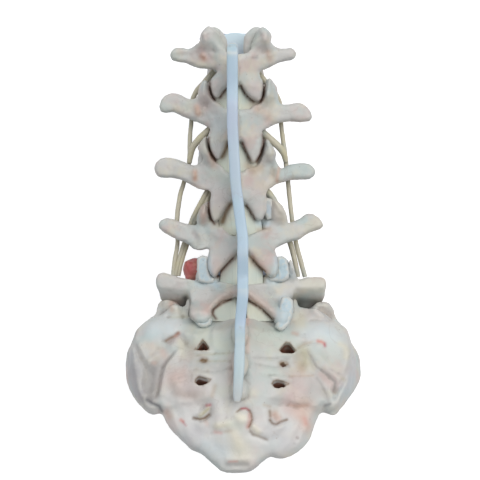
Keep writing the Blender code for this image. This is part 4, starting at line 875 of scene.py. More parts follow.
SACRUM_BODY = (51.0, 33.0)
SACRUM_VOXEL = 0.8
WEDGE_VOXEL = 0.75
SACRUM_ROUNDING = 3.0
SACRUM_OUTLINE = (
    (161, 300), (164, 299), (168, 299.3), (173, 300.8), (178, 304.5), (182, 308.7), (186, 313),
    (196, 317), (214, 319), (234, 312), (250, 312), (268, 318), (286, 322), (296, 312), (304, 311),
    (311, 307), (318, 302), (322, 300.3), (326, 300.3), (330, 302.3), (333.4, 307.5), (334.8, 313.5),
    (335, 319), (339, 323.3), (344, 329), (350, 336.3), (355, 343.5), (358.5, 351.5), (360.4, 359),
    (361.2, 367), (361.2, 374), (359.5, 381), (356, 387), (350.5, 396), (345, 403), (340, 408.5),
    (336.5, 413), (333.4, 414.5), (328.4, 412.7), (324.5, 410.6), (321, 411.2), (318.5, 416), (315, 425),
    (312.3, 432), (309.5, 438.5), (305.5, 444), (301, 449), (296, 452.6), (290, 455.5), (283, 457.3),
    (277, 456.8), (271, 455.5), (266.5, 457.7), (262, 461), (257.5, 465.5), (252, 468.7), (246, 470.4),
    (237, 471), (227, 470.8), (220.5, 469.6), (215, 465.3), (209, 459.6), (203.8, 454.2), (198, 451.3),
    (191.3, 448.3), (187, 445), (181.3, 439.2), (176, 434), (172, 430), (167.5, 424.5), (164.5, 419.5),
    (162.8, 414.5), (160.5, 411), (157, 411.8), (152.5, 413), (147.5, 411.4), (143.8, 409), (140, 404.6),
    (136.5, 400.3), (132.5, 395.3), (129, 388.5), (127, 382), (126, 375.3), (125.4, 368.7), (125, 362),
    (126, 355), (127.6, 348.7), (129.7, 342.5), (132.2, 337), (136, 331.8), (140.5, 327), (146, 322.6),
    (151, 319.8), (154.5, 316.6), (156.3, 312.5), (156.2, 307), (157.8, 303),
)
# c, half width as a share of the widest, then p: front in the middle and of the wing, side edge,
# crease behind the side face, hollow of the wing, side ridge, beside the crest and in the middle
SACRUM_SECTIONS = (
    (7, 0.60, 19, 17, 21, 25, 28, 28, 24, 22), (2, 0.80, 18.5, 13, 15, 24, 29, 28.5, 26, 23),
    (-0.8, 0.86, 18.5, 8, 12, 25, 29, 28.5, 27, 25), (-2.4, 0.90, 5, 2, 9, 25.5, 29, 29, 28, 28),
    (-7, 0.97, -2, -4, 4, 25.5, 28.5, 29.5, 31, 35), (-16, 1.00, -4, -4, 1, 25, 26.5, 29, 33.5, 39),
    (-28, 0.985, -2, 0, 2, 23, 22.5, 27, 32, 37), (-40, 0.93, 1, 3, 5, 19, 19, 24.5, 30, 33.5),
    (-48, 0.86, 3, 5, 8, 17, 18, 22, 27.5, 30.5), (-51, 0.78, 3.5, 6, 9, 17, 18, 21.5, 26.5, 29),
    (-52.4, 0.62, 4, 7, 10, 16, 18, 20.5, 26, 28), (-63, 0.555, 4.5, 7, 9, 14.5, 16.5, 18.5, 21.5, 22.5),
    (-71, 0.465, 4, 6, 8, 12, 13.5, 14.5, 16, 17), (-77, 0.33, 2.5, 4.5, 7, 9.5, 11, 11.5, 12, 12.5),
    (-80, 0.22, 2, 4, 6.5, 8.5, 10, 10.5, 11, 11), (-85, 0.12, 2, 2, 5.75, 9.5, 9.5, 9.5, 9.5, 9.5),
)
FRONT_SHARES = (0.30, 0.62, 0.97)
BACK_SHARES = (0, 0.28, 0.52, 0.72, 0.86, 1.0)
SACRUM_HALF = 68.0
# c, widths and depths as shares of the body's, and p
SACRAL_BODIES = ((0, 0.94, 0.94, 0), (-1.6, 1.0, 1.0, 0), (-5, 0.98, 0.98, 0), (-16, 0.86, 0.78, 0),
                 (-30, 0.80, 0.66, 1.5), (-45, 0.6, 0.5, 4), (-60, 0.5, 0.4, 6))
SACRAL_PROCESS_OUT = 6.5     # from the lower joint process of L5 to the upper one here
SACRAL_PROCESS = (((-12, 23), 6.0, 5.0), ((0, 26), 5.2, 5.0), ((9, 28), 3.4, 3.6))
CREST_SIDE = -0.8
CREST_KNOBS = ((-20, 39.5, 9), (-37, 35.8, 8), (-49, 30.2, 6))
# c, p, half width and half depth
SACRAL_CANAL = ((14, 25, 15, 9), (-8, 26, 12, 6.5), (-25, 23, 10, 5), (-42, 20.5, 8, 4), (-54, 17, 5, 3))
# Holes in the front, from the top: half their gap, and c; each row is smaller and less deep
FRONT_HOLES = ((19, -21), (18, -39), (17, -54), (15, -66))
HOLE_RADIUS = 4.6
HOLE_SHRINKS = 0.5
HOLE_DEPTH = 15
HOLE_RISES = 2.5
HOLE_SPREAD = 1.15           # how much wider their gap is at the front
HOLE_FRONT = -20
HOLE_SIDES = 32
SACRUM_RELIEF = (
    # Wings: the knobs, the convex tops and the crease of the left one, shaped like a V
    (5.0, 6.0, ((167, 305), (176, 311))), (5.0, 6.0, ((317, 308), (325, 310))),
    (-1.5, 1.8, ((168, 317.5), (188, 317))), (-1.5, 1.8, ((312, 319), (330, 320))),
    (1.3, 11, ((152, 330), (168, 327))), (1.3, 11, ((320, 328), (336, 334))),
    (-2.2, 2.0, ((162, 340.5), (168, 340.5), (171, 338), (175, 335.8), (178, 333), (181, 337),
                 (186, 342))),
    (-0.9, 2.4, ((157, 348), (166, 345.4), (172, 342))), (0.9, 3.5, ((173, 345), (176, 352))),
    (0.8, 2.4, ((186, 333), (196, 337))), (-1.2, 3.0, ((186, 345), (194, 347.5))),
    # Left side face, hollow and side ridge
    (-1.6, 2.6, ((134, 342), (138, 351), (142, 359), (146, 366), (146.6, 373), (144.4, 381), (143, 390))),
    (1.0, 2.8, ((139, 345), (144, 355), (149, 362))), (1.3, 2.2, ((149, 363), (154, 358.5), (158, 356))),
    (-1.9, 5.0, ((153, 374), (150, 386), (151, 397))),
    (1.4, 3.2, ((178, 352), (170, 362), (165, 371), (163, 382), (162, 394))),
    (-2.0, 1.9, ((175, 351.5), (171, 356), (166.5, 361), (161.6, 368), (159.6, 378), (158.4, 388),
                 (156, 397))),
    (-2.0, 2.0, ((147, 399.5), (150.5, 402.5), (155.5, 404), (159.5, 406), (162, 411))),
    (0.9, 3.0, ((150, 393), (153, 398))),
    # Right side face, the crease that crosses the wing, and the folds beside it
    (-2.1, 1.9, ((308, 350), (311, 355.5), (314, 361), (317, 366), (322.5, 370.5), (328, 375), (334, 381),
                 (336, 385), (334, 390))),
    (1.1, 3.0, ((303, 356), (308, 366), (314, 374), (322, 384))),
    (0.9, 4.0, ((320, 356), (328, 366), (336, 378))),
    (-1.1, 1.7, ((316, 377), (321.5, 384), (326, 392), (328, 400))),
    (-1.5, 1.6, ((325.5, 405), (330.5, 403.5))), (-1.1, 1.5, ((329, 368.5), (335, 372), (341, 374.3))),
    (-1.4, 1.6, ((333, 386), (334, 392))),
    (-1.2, 1.8, ((297, 348.5), (304, 344), (311, 342), (318, 342.3))),
    (-0.9, 1.4, ((304.5, 333.5), (307, 337), (309, 339))), (0.9, 2.6, ((298, 338), (304, 341))),
    (0.9, 2.6, ((343, 345), (347, 355))),
    (-1.8, 2.2, ((352, 357), (347.5, 371), (343.5, 380), (338, 388), (335, 398))),
    (-1.1, 3.5, ((302, 352), (304, 366))),
    # Joined joint processes and the folds between them, beside the crest
    (1.1, 4.0, ((214, 331), (214, 345))), (0.9, 4.0, ((270, 333), (266, 344))),
    (-1.0, 1.3, ((195, 355.8), (205, 354.6), (218, 353.2), (232, 352))),
    (-1.0, 1.5, ((196, 361.4), (214, 361), (232, 361))),
    (-1.0, 1.6, ((194, 369.6), (204, 371), (216, 371), (232, 367))),
    (-1.0, 1.3, ((253, 357), (272, 357.2), (290, 359))),
    (-1.0, 1.4, ((253, 362), (264, 365), (276, 367), (289, 366.6), (296, 361))),
    (-0.9, 1.5, ((258, 372), (272, 375), (288, 377))),
    (-1.0, 1.3, ((290, 376.4), (302, 375.3), (313, 375.6))), (1.2, 1.8, ((194, 351.6), (210, 352.2))),
    (1.1, 1.8, ((280, 355), (294, 354.8))), (1.6, 2.2, ((194, 373.5), (200, 374), (210, 377))),
    (1.3, 2.2, ((272, 378), (282, 377), (292, 381))), (-0.7, 2.6, ((231, 368), (231, 402))),
    (-0.7, 2.6, ((248, 376), (248, 398))), (1.0, 2.4, ((178, 372), (186, 373), (194, 378))),
    (-0.6, 3.6, ((172, 392), (184, 395), (196, 396))), (0.9, 6.0, ((178, 384), (188, 386))),
    (0.9, 6.0, ((180, 406), (188, 408))), (-0.4, 4.0, ((213, 386), (212, 396))),
    (0.9, 7.0, ((298, 392), (292, 396))), (-1.2, 2.0, ((288, 405), (297, 406.6), (308, 405.6))),
    (0.6, 6.0, ((217, 400), (219, 412))), (0.6, 6.0, ((261, 396), (260, 408))),
    (-0.7, 1.4, ((264, 405), (271, 407))),
    (-2.4, 1.8, ((193, 417.5), (199, 419.6), (205, 418.6), (209.6, 414.5), (211, 408))),
    (1.5, 1.8, ((200, 415.4), (204, 412), (208, 408))), (-1.6, 3.6, ((274.4, 415), (277, 419.5))),
    (-1.6, 1.6, ((270, 419.5), (272.4, 423.5), (276, 424.8), (280.6, 422.2), (287, 419.8))),
    # Horns beside the lower mouth of the canal, and the rounded tip
    (1.7, 3.8, ((217.5, 426.5), (222, 425), (228, 424.5))), (1.6, 2.6, ((253, 427), (258, 432))),
    (-1.4, 1.6, ((213, 431.6), (221, 432))), (1.2, 4.5, ((238, 417), (241, 421))),
    (-2.8, 1.6, ((238.5, 410.6), (242, 408.4), (246, 408.2), (249.4, 410.6), (251.6, 415), (252, 420),
                 (250, 425), (248.6, 428.5), (250, 431.5), (253, 434.5), (258, 436), (267, 439.5))),
    (0.7, 7.0, ((234, 434), (239, 448))), (-1.6, 2.4, ((226, 465), (247, 465))),
    (1.2, 2.0, ((226, 459.5), (247, 459.5))), (0.7, 6.0, ((301, 424), (306, 428))),
    (-1.0, 1.2, ((297.4, 437), (297.6, 438))), (-0.9, 1.2, ((294.3, 443), (294.4, 444))),
    (-0.7, 3.5, ((286, 428), (276, 438))), (-0.6, 4.0, ((192, 426), (206, 436))),
    (-0.6, 3.0, ((211, 428), (212, 434))),
)
# Holes in the back: pixels of their outline, and how deep they go
SACRUM_PITS = (
    (13.0, ((202.6, 339.6), (205.4, 342.6), (208.2, 347), (208.4, 349.6), (206.6, 350.7), (201, 350.4),
            (195, 349.4), (197.5, 346.2))),
    (13.0, ((286, 342.2), (289.6, 342.8), (293, 347), (296, 350.4), (292, 352.8), (287, 353.2),
            (282.2, 352.8), (279.6, 349.8), (282, 346))),
    (3.4, ((200.6, 360.6), (203.6, 359), (206.6, 359.4), (206.2, 361.4), (203, 361.9))),
    (3.6, ((279.8, 363), (281.5, 361.6), (285, 362.6), (287.6, 364.2), (284.4, 365.8), (281, 365.4))),
    (10.0, ((195.4, 379), (199, 376.6), (205, 378.2), (210.6, 379.2), (208, 382.6), (203, 384.9),
            (198, 384.4), (195, 382.4))),
    (10.0, ((272, 383.6), (273.8, 380.8), (277.6, 379.9), (283, 381.4), (288.6, 383.8), (284, 386.2),
            (279, 387.7), (274.6, 386.8))),
)
# A pit's cutter from the top: its size as a share of the outline, and p above the surface or,
# below it, as a share of the depth
PIT_MOUTH = ((1.25, 4), (1.02, 0.4))
PIT_WALL = ((0.95, 0.4), (0.8, 1))
MOUTH_BREADTH = 6.5          # pixels round an outline within which the hole takes painted shade
PIT_EDGE = 1.5               # millimetres below the surface where the painted shade starts
PIT_FLOOR = 8
SACRUM_GRAIN = ((10.0, 1.2), (2.6, 0.22))

place = places["sacrum"]


def between(value, stops, levels):
    """Levels at the stops, joined smoothly: one row of levels for every value."""
    result = levels[0] + 0 * value
    for low, high, near, far in zip(stops, stops[1:], levels, levels[1:]):
        result = result + (far - near) * ramp((value - low) / (high - low))
    return result


def sacrum_surfaces(x, c):
    """p of the front, of the edge and of the back."""
    rows = np.array(SACRUM_SECTIONS)[::-1]
    share, *depths = (np.interp(c, rows[:, 0], rows[:, k]) for k in range(1, 10))
    front_mid, front_wing, edge, crease, hollow, ridge, side, mid = depths
    share = np.clip(np.abs(x) / (SACRUM_HALF * share), 0, 1)
    front = between(share, FRONT_SHARES, (front_mid, front_wing, edge - 2))
    back = between(share, BACK_SHARES, (mid, side, ridge, hollow, crease, edge + 1))
    return front, edge, back


def pit(depth, outline):
    """Cutter with an outline drawn over the photograph, sunk into the back of the sacrum."""
    rims = [settled(px, py, place, 26.0, lambda x, c: sacrum_surfaces(x, c)[2], 3) for px, py in outline]
    centre = sum(rims, Vector()) / len(rims)
    stations = PIT_MOUTH + tuple((size, -depth * share) for size, share in PIT_WALL)
    bm = bmesh.new()
    loft(bm, [[centre + (spot - centre) * size + Vector((0, 0, drop)) for spot in rims]
              for size, drop in stations])
    bmesh.ops.triangulate(bm, faces=bm.faces)
    return draft(bm, "pit")


def drill(name, start, end, radius):
    """Slanting round cutter between two points."""
    bm = bmesh.new()
    start, end = Vector(start), Vector(end)
    along = (end - start).normalized()
    wide = Vector((0, 1, 0)).cross(along).normalized()
    tall = along.cross(wide)
    loft(bm, [[centre + wide * radius * u + tall * radius * v for u, v in ring_points(HOLE_SIDES)]
              for centre in (start, end)])
    return draft(bm, name)


def cut(obj, cutter):
    modify(obj, "BOOLEAN", object=cutter, operation="DIFFERENCE", solver="MANIFOLD")
    bpy.data.objects.remove(cutter, do_unlink=True)


spots = [settled(px, py, place, 12.0, lambda x, c: sacrum_surfaces(x, c)[1] + 1.5, 4)
         for px, py in SACRUM_OUTLINE]
corners = [(spot.x, spot.y) for spot in spots]
wedge = plate("wedge", corners, WEDGE_VOXEL)
points = coordinates(wedge)
x, c = points[:, 0], points[:, 1]
roundness = edge_curve(x, c, corners, SACRUM_ROUNDING)
front, edge, back = sacrum_surfaces(x, c)
back += relief(np.column_stack((x, c, back)), place, SACRUM_RELIEF) * roundness
middle = edge + 0.5
target = np.where(points[:, 2] > 0, back, front)
points[:, 2] = middle + (target - middle) * np.clip(np.abs(points[:, 2]) / PLATE_HALF, 0, 1) * roundness
move_points(wedge, points)

bm = bmesh.new()
loft(bm, [[(x, c, q + p) for x, q in body_outline(SACRUM_BODY[0] * width, SACRUM_BODY[1] * depth)]
          for c, width, depth, p in SACRAL_BODIES])
for side in (-1, 1):
    out = side * (LEVELS[0].iap_reach + SACRAL_PROCESS_OUT)
    limb(bm, [((out, *spot), thick, tall) for spot, thick, tall in SACRAL_PROCESS], Vector((0, 0, 1)))
for c, p, length in CREST_KNOBS:
    swelling(bm, (CREST_SIDE, c, p), (4.6, length, 5.0))
core = draft(bm, "core")
sacrum = join("bone_sacrum", [core, wedge])
modify(sacrum, "REMESH", mode="VOXEL", voxel_size=SACRUM_VOXEL)
bm = bmesh.new()
loft(bm, [[(width * u, c, p + depth * v) for u, v in ring_points(HOLE_SIDES)]
          for c, p, width, depth in SACRAL_CANAL])
cut(sacrum, draft(bm, "canal"))
for row, (half_gap, c) in enumerate(FRONT_HOLES):
    for side in (-1, 1):
        start = (side * half_gap, c, HOLE_DEPTH - row * HOLE_RISES)
        end = (side * half_gap * HOLE_SPREAD, c + 2, HOLE_FRONT)
        cut(sacrum, drill("front_hole", start, end, HOLE_RADIUS - row * HOLE_SHRINKS))
for depth, outline in SACRUM_PITS:
    cut(sacrum, pit(depth, outline))
modify(sacrum, "REMESH", mode="VOXEL", voxel_size=SACRUM_VOXEL)
modify(sacrum, "SMOOTH", iterations=1, factor=0.5)
for scale, depth in SACRUM_GRAIN:
    grain(sacrum, scale, depth)
# Painted shade in the holes of the back: deeper than their edge below the surface and near their outlines,
# with a dark line of painted shade round each mouth
points = coordinates(sacrum)
px, py = photo_points(points, place)
buried = sacrum_surfaces(points[:, 0], points[:, 1])[2] - points[:, 2]
sunk = ramp((buried - PIT_EDGE) / PIT_EDGE) * (points[:, 2] > PIT_FLOOR)
rims = [outline + outline[:1] for _, outline in SACRUM_PITS]
mouths = [np.exp(-(line_distance(px, py, rim) / MOUTH_BREADTH) ** 4) for rim in rims]
paint(sacrum, place, STAINS_AND_SHADE + tuple(("brown_and_shade", 0.8, 1.0, rim) for rim in rims),
      sunk * np.max(mouths, axis=0))
lay(sacrum, place, bone_material, "bone", "sacrum")


# Discs
# Blue-grey plastic between the bodies, full at the rim and faintly ringed, as a disc's fibres are.
# The top of the model is a flat cut disc.

disc_material = washed_material("Disc plastic", (0.40, 0.43, 0.53), (0.47, 0.45, 0.53), (0.37, 0.45, 0.52),
                                70.0, 0.7, 0.42, 0.3)
DISC_SIZE = 0.95             # as a share of the bodies that it joins
DISC_BULGE = 2.2
DISC_DEEPER = 1.03
DISC_LIFT = 0.5
DISC_SLICES = 16
DISC_RINGING = 0.006
DISC_VOXEL = 0.8


def disc_ring(place, width, depth, height_at):
    outline = body_outline(width * DISC_SIZE, depth * DISC_SIZE)
    return [place @ Vector((x, height_at(p), p)) for x, p in outline]


def level_ring(level, upper, lift):
    lift = lift if upper else -lift
    return disc_ring(places[level.name], level.width, level.depth,
                     lambda p: end_height(level, p, upper) + lift)


def disc(name, bottom, top):
    centre = sum(bottom + top, Vector()) / (2 * len(bottom))
    half = max(abs((point - centre).x) for point in bottom)
    rings = [bottom]
    for k in range(1, DISC_SLICES):
        share = k / DISC_SLICES
        full = (1 - abs(2 * share - 1) ** 2.4) * DISC_BULGE / half + 0.03
        full += DISC_RINGING * math.cos(share * math.tau * 3)
        ring = []
        for low, high in zip(bottom, top):
            out = low.lerp(high, share) - centre
            ring.append(centre + Vector((out.x * (1 + full), out.y, out.z * DISC_DEEPER)))
        rings.append(ring)
    bm = bmesh.new()
    loft(bm, rings + [top])
    obj = draft(bm, "soft_" + name)
    modify(obj, "REMESH", mode="VOXEL", voxel_size=DISC_VOXEL)
    grain(obj, 3.0, 0.4)
    lay(obj, Matrix(), disc_material, "disc", name)


ring, below = disc_ring(places["sacrum"], *SACRUM_BODY, lambda p: DISC_LIFT), "sacrum"
for level in LEVELS:
    disc(f"disc_{level.name}_{below}", ring, level_ring(level, False, DISC_LIFT))
    ring, below = level_ring(level, True, DISC_LIFT), level.name
disc("disc_t12_l1", ring, level_ring(level, True, DISC_LIFT + level.disc_above))


# Ligament bands
# Pale blue flexible straps: one over the tips of the spinous processes, one down the front of
# the bodies, and one inside the canal, whose rounded end stands up over L1 like a small bowl.

# Stains of the strap, with painted shade: the dark dot and the thin dark lines at its top end and across it
# are painted shade.
STRAP_STAINS_AND_SHADE = (
    ("shade", 0.85, 1.0, ((240.4, 328), (241, 328.2))),
    ("shade", 0.45, 0.8, ((229, 46), (233.5, 44.9), (238.5, 46))),
    ("mint", 0.35, 8, ((241, 336), (238, 400))), ("lilac", 0.25, 8, ((232, 110), (236, 190))),
    ("shade", 0.4, 0.7, ((236, 328.4), (246, 328))), ("bone", 0.35, 12, ((238.5, 388), (238.3, 404))),
    ("bone", 0.4, 7, ((238.4, 397), (238.3, 405))),
)
strap_material = washed_material("Strap plastic", (0.455, 0.585, 0.69), (0.455, 0.60, 0.65),
                                 (0.49, 0.58, 0.73), 45.0, 0.7, 0.42, 0.1, stained=True)
# The band inside the canal is a lighter copy of the strap's blue: painted light, as it lies deep and shaded
# between the processes.
lightened_bowl_material = washed_material("Back band plastic", (0.68, 0.82, 0.90), (0.66, 0.83, 0.88),
                                (0.72, 0.80, 0.92), 45.0, 0.6, 0.42, 0.1)
STRAP_HALF = 2.95
STRAP_HALF_THICKNESS = 1.1
STRAP_LIFT = 1.7             # from the back of a spinous process to the middle of the strap
STRAP_DRIFT = 0.3            # share of the step to the next bone that it has taken at a bone's edge
# Its tip, up and back from its first point, and half width; then c, p and half width on the crest
STRAP_TIP = ((5.6, -1.9, 1.6), (4.8, -1.6, 2.7), (1.6, -0.5, 2.95))
CREST_RUN = ((-20, 46.7, 2.8), (-30, 45.2, 2.7), (-41, 41.7, 2.75), (-50, 37.2, 2.5), (-55, 33.8, 2.2),
             (-57.4, 32.2, 1.3))
CREST_BEND = 0.022
FRONT_HALF = 12.2
FRONT_HALF_THICKNESS = 0.9
FRONT_LIFT = 1.65            # from the front of a body to the middle of the band
FRONT_RUN = ((-2, 0, 12.6), (-10, 1.6, 12), (-24, 4.6, 8))
BACK_HALF = 8.0
BACK_HALF_AT_TOP = 9.2
BACK_HALF_THICKNESS = 0.6
BACK_LIFT = 1.1
BAND_HELD = 0.92             # where both bands meet a body, as a share of the way to its ends
# Rim of the bowl: how far below the top of the highest disc, and half width
BOWL_RIM = ((-0.6, 1.5), (-0.4, 3.0), (0, 4.8), (0.6, 6.6), (1.4, 8.1), (2.4, 9.1), (5.0, 9.3))
BAND_POINTS = 28


def smooth_path(knots, step):
    """Points on a smooth curve through the knots, each a tuple of numbers."""
    knots = [np.array(knot, float) for knot in knots]
    knots = [knots[0]] + knots + [knots[-1]]
    path = []
    for a, b, c, d in zip(knots, knots[1:], knots[2:], knots[3:]):
        steps = max(1, round(float(np.linalg.norm((c - b)[:3])) / step))
        for k in range(steps):
            t = k / steps
            path.append(0.5 * (2 * b + (c - a) * t + (2 * a - 5 * b + 4 * c - d) * t ** 2
                               + (3 * b - a - 3 * c + d) * t ** 3))
    return path + [knots[-1]]


def band(name, knots, half_thickness, edge_power=4):
    """Flat strap along knots of x, c, p and half width, its flat side facing the back."""
    path = smooth_path(knots, 1.2)
    rings = []
    for point, (centre, along) in zip(path, headings([Vector(point[:3]) for point in path])):
        out = Vector((1, 0, 0)).cross(along).normalized()
        rings.append([centre + Vector((u * float(point[3]), 0, 0)) + out * (v * half_thickness)
                      for u, v in ring_points(BAND_POINTS, 2 / edge_power)])
    bm = bmesh.new()
    loft(bm, rings)
    return draft(bm, name)


knots, side = [], {level.name: level.side + level.spine_side for level in LEVELS}
order = [level.name for level in reversed(LEVELS)]
for index, level in enumerate(reversed(LEVELS)):
    middle, half = spine_span(level)
    for share, other in ((1, order[max(index - 1, 0)]), (0, level.name), (-1, order[min(index + 1, 4)])):
        drift = (side[other] - side[level.name]) * STRAP_DRIFT
        spot = Vector((level.spine_side + drift, middle - 1 + half * share, level.spine_back + STRAP_LIFT))
        knots.append((*(places[level.name] @ spot), STRAP_HALF))
for c, p, half in CREST_RUN:
    shift = CREST_SIDE - CREST_BEND * (c + 20) * (c + 20) / 20
    knots.append((*(places["sacrum"] @ Vector((shift, c, p))), half))
x, c, p, _ = knots[0]
knots = [(x, c + up, p + back, half) for up, back, half in STRAP_TIP] + knots
strap = band("band_supraspinous", knots, STRAP_HALF_THICKNESS, 3)
grain(strap, 6.0, 0.25)
paint(strap, Matrix(), STRAP_STAINS_AND_SHADE)
lay(strap, Matrix(), strap_material, "ligament", "supraspinous_ligament")

knots = []
for level in reversed(LEVELS):
    for upper in (True, False):
        c = end_height(level, -level.depth / 2, upper) * BAND_HELD
        spot = Vector((0, c, -level.depth / 2 - FRONT_LIFT))
        knots.append((*(places[level.name] @ spot), FRONT_HALF))
for c, rise, half in FRONT_RUN:
    knots.append((*(places["sacrum"] @ Vector((0, c, rise - SACRUM_BODY[1] / 2 - 1.8))), half))
front_band = band("band_anterior", knots, FRONT_HALF_THICKNESS)
grain(front_band, 6.0, 0.2)
paint(front_band, Matrix(), ())
lay(front_band, Matrix(), strap_material, "ligament", "anterior_ligament")

highest = LEVELS[-1]
rim, back = highest.height / 2 + highest.disc_above, highest.depth / 2 + BACK_LIFT
knots = [(*(places[highest.name] @ Vector((0, rim - drop, back))), half) for drop, half in BOWL_RIM]
for level in reversed(LEVELS):
    back = level.depth / 2 + BACK_LIFT
    for upper in (True, False):
        half = BACK_HALF_AT_TOP if level is highest and upper else BACK_HALF
        spot = Vector((0, end_height(level, back, upper) * BAND_HELD, back))
        knots.append((*(places[level.name] @ spot), half))
knots.append((*(places["sacrum"] @ Vector((0, 5, SACRUM_BODY[1] / 2 + 1.2))), BACK_HALF))
back_band = band("band_posterior", knots, BACK_HALF_THICKNESS)
lay(back_band, Matrix(), lightened_bowl_material, "ligament", "posterior_ligament")


# Yellow ligaments
# Pale green panels, moulded with fine fibres that run up and down, close the windows between the
# laminae on both sides of the middle. Their edges tuck under the bone.

flavum_material = washed_material("Yellow ligament", (0.61, 0.65, 0.57), (0.66, 0.65, 0.52),
                                  (0.55, 0.65, 0.60), 75.0, 0.7, 0.5, 0.2, stained=True)
# Half width, how much it slopes to the side, and x, c and p of its upper and its lower edge
PANEL = (5.4, 0.28, (6.6, -8.5, CANAL_BACK - 5.2), (6.6, LAMINA_TOP - 5.0, CANAL_BACK - 5.5))
LOWEST_PANEL = (7.2, 0.1, (10.0, -3.0, CANAL_BACK - 5.4), (10.2, -7.5, 32.4))
PANEL_HALF_THICKNESS = 1.1
PANEL_POWER = 0.6
PANEL_ROWS = 24
PANEL_POINTS = 48
FIBRE_HEIGHT = 0.12
FIBRES = 5.2                 # radians of their wave in a millimetre
FIBRE_LEAN = 0.15


def flavum(upper, lower, side, word):
    half, slope, top, bottom = LOWEST_PANEL if lower == "sacrum" else PANEL
    top = places[upper] @ Vector((side * top[0], *top[1:]))
    bottom = places[lower] @ Vector((side * bottom[0], *bottom[1:]))
    rings = []
    for k in range(PANEL_ROWS + 1):
        point = top.lerp(bottom, k / PANEL_ROWS)
        ring = []
        for u, v in ring_points(PANEL_POINTS, PANEL_POWER):
            u *= half
            fibre = FIBRE_HEIGHT * math.sin(u * FIBRES + k * FIBRE_LEAN)
            ring.append(point + Vector((u, 0, v * (PANEL_HALF_THICKNESS + fibre) - u * side * slope)))
        rings.append(ring)
    bm = bmesh.new()
    loft(bm, rings)
    panel = draft(bm, f"fibre_{upper}_{lower}_{word}")
    paint(panel, Matrix(), STAINS_AND_SHADE)
    lay(panel, Matrix(), flavum_material, "flavum", f"flavum_{upper}_{lower}_{word}")


below = "sacrum"
for level in LEVELS:
    for side, word in ((-1, "left"), (1, "right")):
        flavum(level.name, below, side, word)
    below = level.name


# Joint cartilage
# Pale blue patches, part of the joint surface that stands out between two joint processes.

cartilage_material = washed_material("Cartilage", (0.48, 0.60, 0.65), (0.47, 0.58, 0.66),
                                     (0.55, 0.60, 0.585), 110.0, 0.8, 0.52, 0.2, stained=True)
PATCH_ROUNDING = 1.5
# The two bones and the side, p and half thickness, and the outline in pixels of the photograph
PATCHES = (
    ("l3", "l4", "right", 34.8, 2.2, ((263.6, 199.5), (268, 197.6), (272.4, 199.5), (273.8, 206),
                                      (273.6, 213), (272, 218.8), (267, 220.4), (264, 214), (263.4, 206))),
    ("l4", "l5", "left", 35.0, 2.4, ((197.6, 257), (203, 255.3), (209, 256.5), (209, 265), (209.4, 272),
                                     (211.6, 276.4), (215.5, 279), (213.8, 283.4), (205, 284),
                                     (198.2, 281.4), (197, 272), (196.8, 264))),
    ("l4", "l5", "right", 35.0, 2.4, ((276.6, 256.5), (284, 256.5), (287.8, 260.5), (289, 266), (290, 273),
                                      (288.6, 279), (282, 282), (272, 282), (268.4, 279.6), (271.5, 275.6),
                                      (276, 274.4), (277, 270), (276.6, 263))),
    ("l5", "sacrum", "right", 39.2, 2.5, ((281.5, 297), (288, 296.6), (293.2, 300.5), (293.6, 308),
                                          (292.2, 317), (289.3, 324), (285.4, 329), (281.5, 331.5),
                                          (277.5, 330), (275, 326.5), (277, 321), (278, 313),
                                          (279.4, 304))),
    ("l5", "sacrum", "left", 37.0, 2.2, ((194.6, 317), (201, 315.5), (208, 316.5), (213, 319),
                                         (211.6, 324), (207, 327), (202.5, 327.8), (198.4, 326.4),
                                         (195, 322.4))),
)
for upper, lower, word, depth, half, outline in PATCHES:
    place = places[upper]
    patch = inflated(f"patch_{upper}_{lower}_{word}", outline, place,
                     lambda x, c: (depth + 0 * x, half + 0 * x), PATCH_ROUNDING)
    modify(patch, "SMOOTH", iterations=1, factor=0.5)
    grain(patch, 2.4, 1.3)
    paint(patch, place, (("bone", 0.2, 1.3, outline + outline[:1]),) + STAINS_AND_SHADE)
    lay(patch, place, cartilage_material, "cartilage", f"facet_cartilage_{upper}_{lower}_{word}")


# Prolapsed disc
# A red, glossy swelling that bursts out of the left side of the disc under L4, with a salmon rim.

bulge_material = washed_material("Prolapsed disc", (0.66, 0.17, 0.16), (0.74, 0.36, 0.28),
                                 (0.56, 0.10, 0.11), 120.0, 0.7, 0.35, 0.3)
BULGE_AT = Vector((-27.5, 3.0, 12.0))
BULGE_LOBES = (
    ((0, 0, 0), (7.0, 7.0, 6.6)), ((3.5, -1, -4), (6, 5, 5.5)), ((-3, 2.5, 1.5), (3.6, 3.4, 4.4)),
    ((-1.5, -4, 1), (4.2, 2.8, 4.6)), ((4, 3.6, 2), (3.4, 3, 3.6)), ((6, 0, 0), (3.4, 5.6, 4)),
)
BULGE_VOXEL = 0.5
middle = (places["l5"] @ Vector((0, LEVELS[0].height / 2, 0))
          + places["l4"] @ Vector((0, -LEVELS[1].height / 2, 0))) / 2
bm = bmesh.new()
for centre, radii in BULGE_LOBES:
    swelling(bm, centre, radii)
bulge = draft(bm, "bulge_l4_l5")
modify(bulge, "REMESH", mode="VOXEL", voxel_size=BULGE_VOXEL)
modify(bulge, "SMOOTH", iterations=3, factor=0.5)
grain(bulge, 3.0, 0.9)
lay(bulge, Matrix.Translation(middle + BULGE_AT), bulge_material, "prolapse", "prolapse_l4_l5")


# Nerves
# Cream cords that leave the canal between the pedicles and run down beside the bodies. The sac
# they come from fills the canal.

nerve_material = washed_material("Nerve plastic", (0.58, 0.54, 0.42), (0.62, 0.57, 0.38),
                                 (0.50, 0.52, 0.46), 90.0, 0.8, 0.45, 0.3)
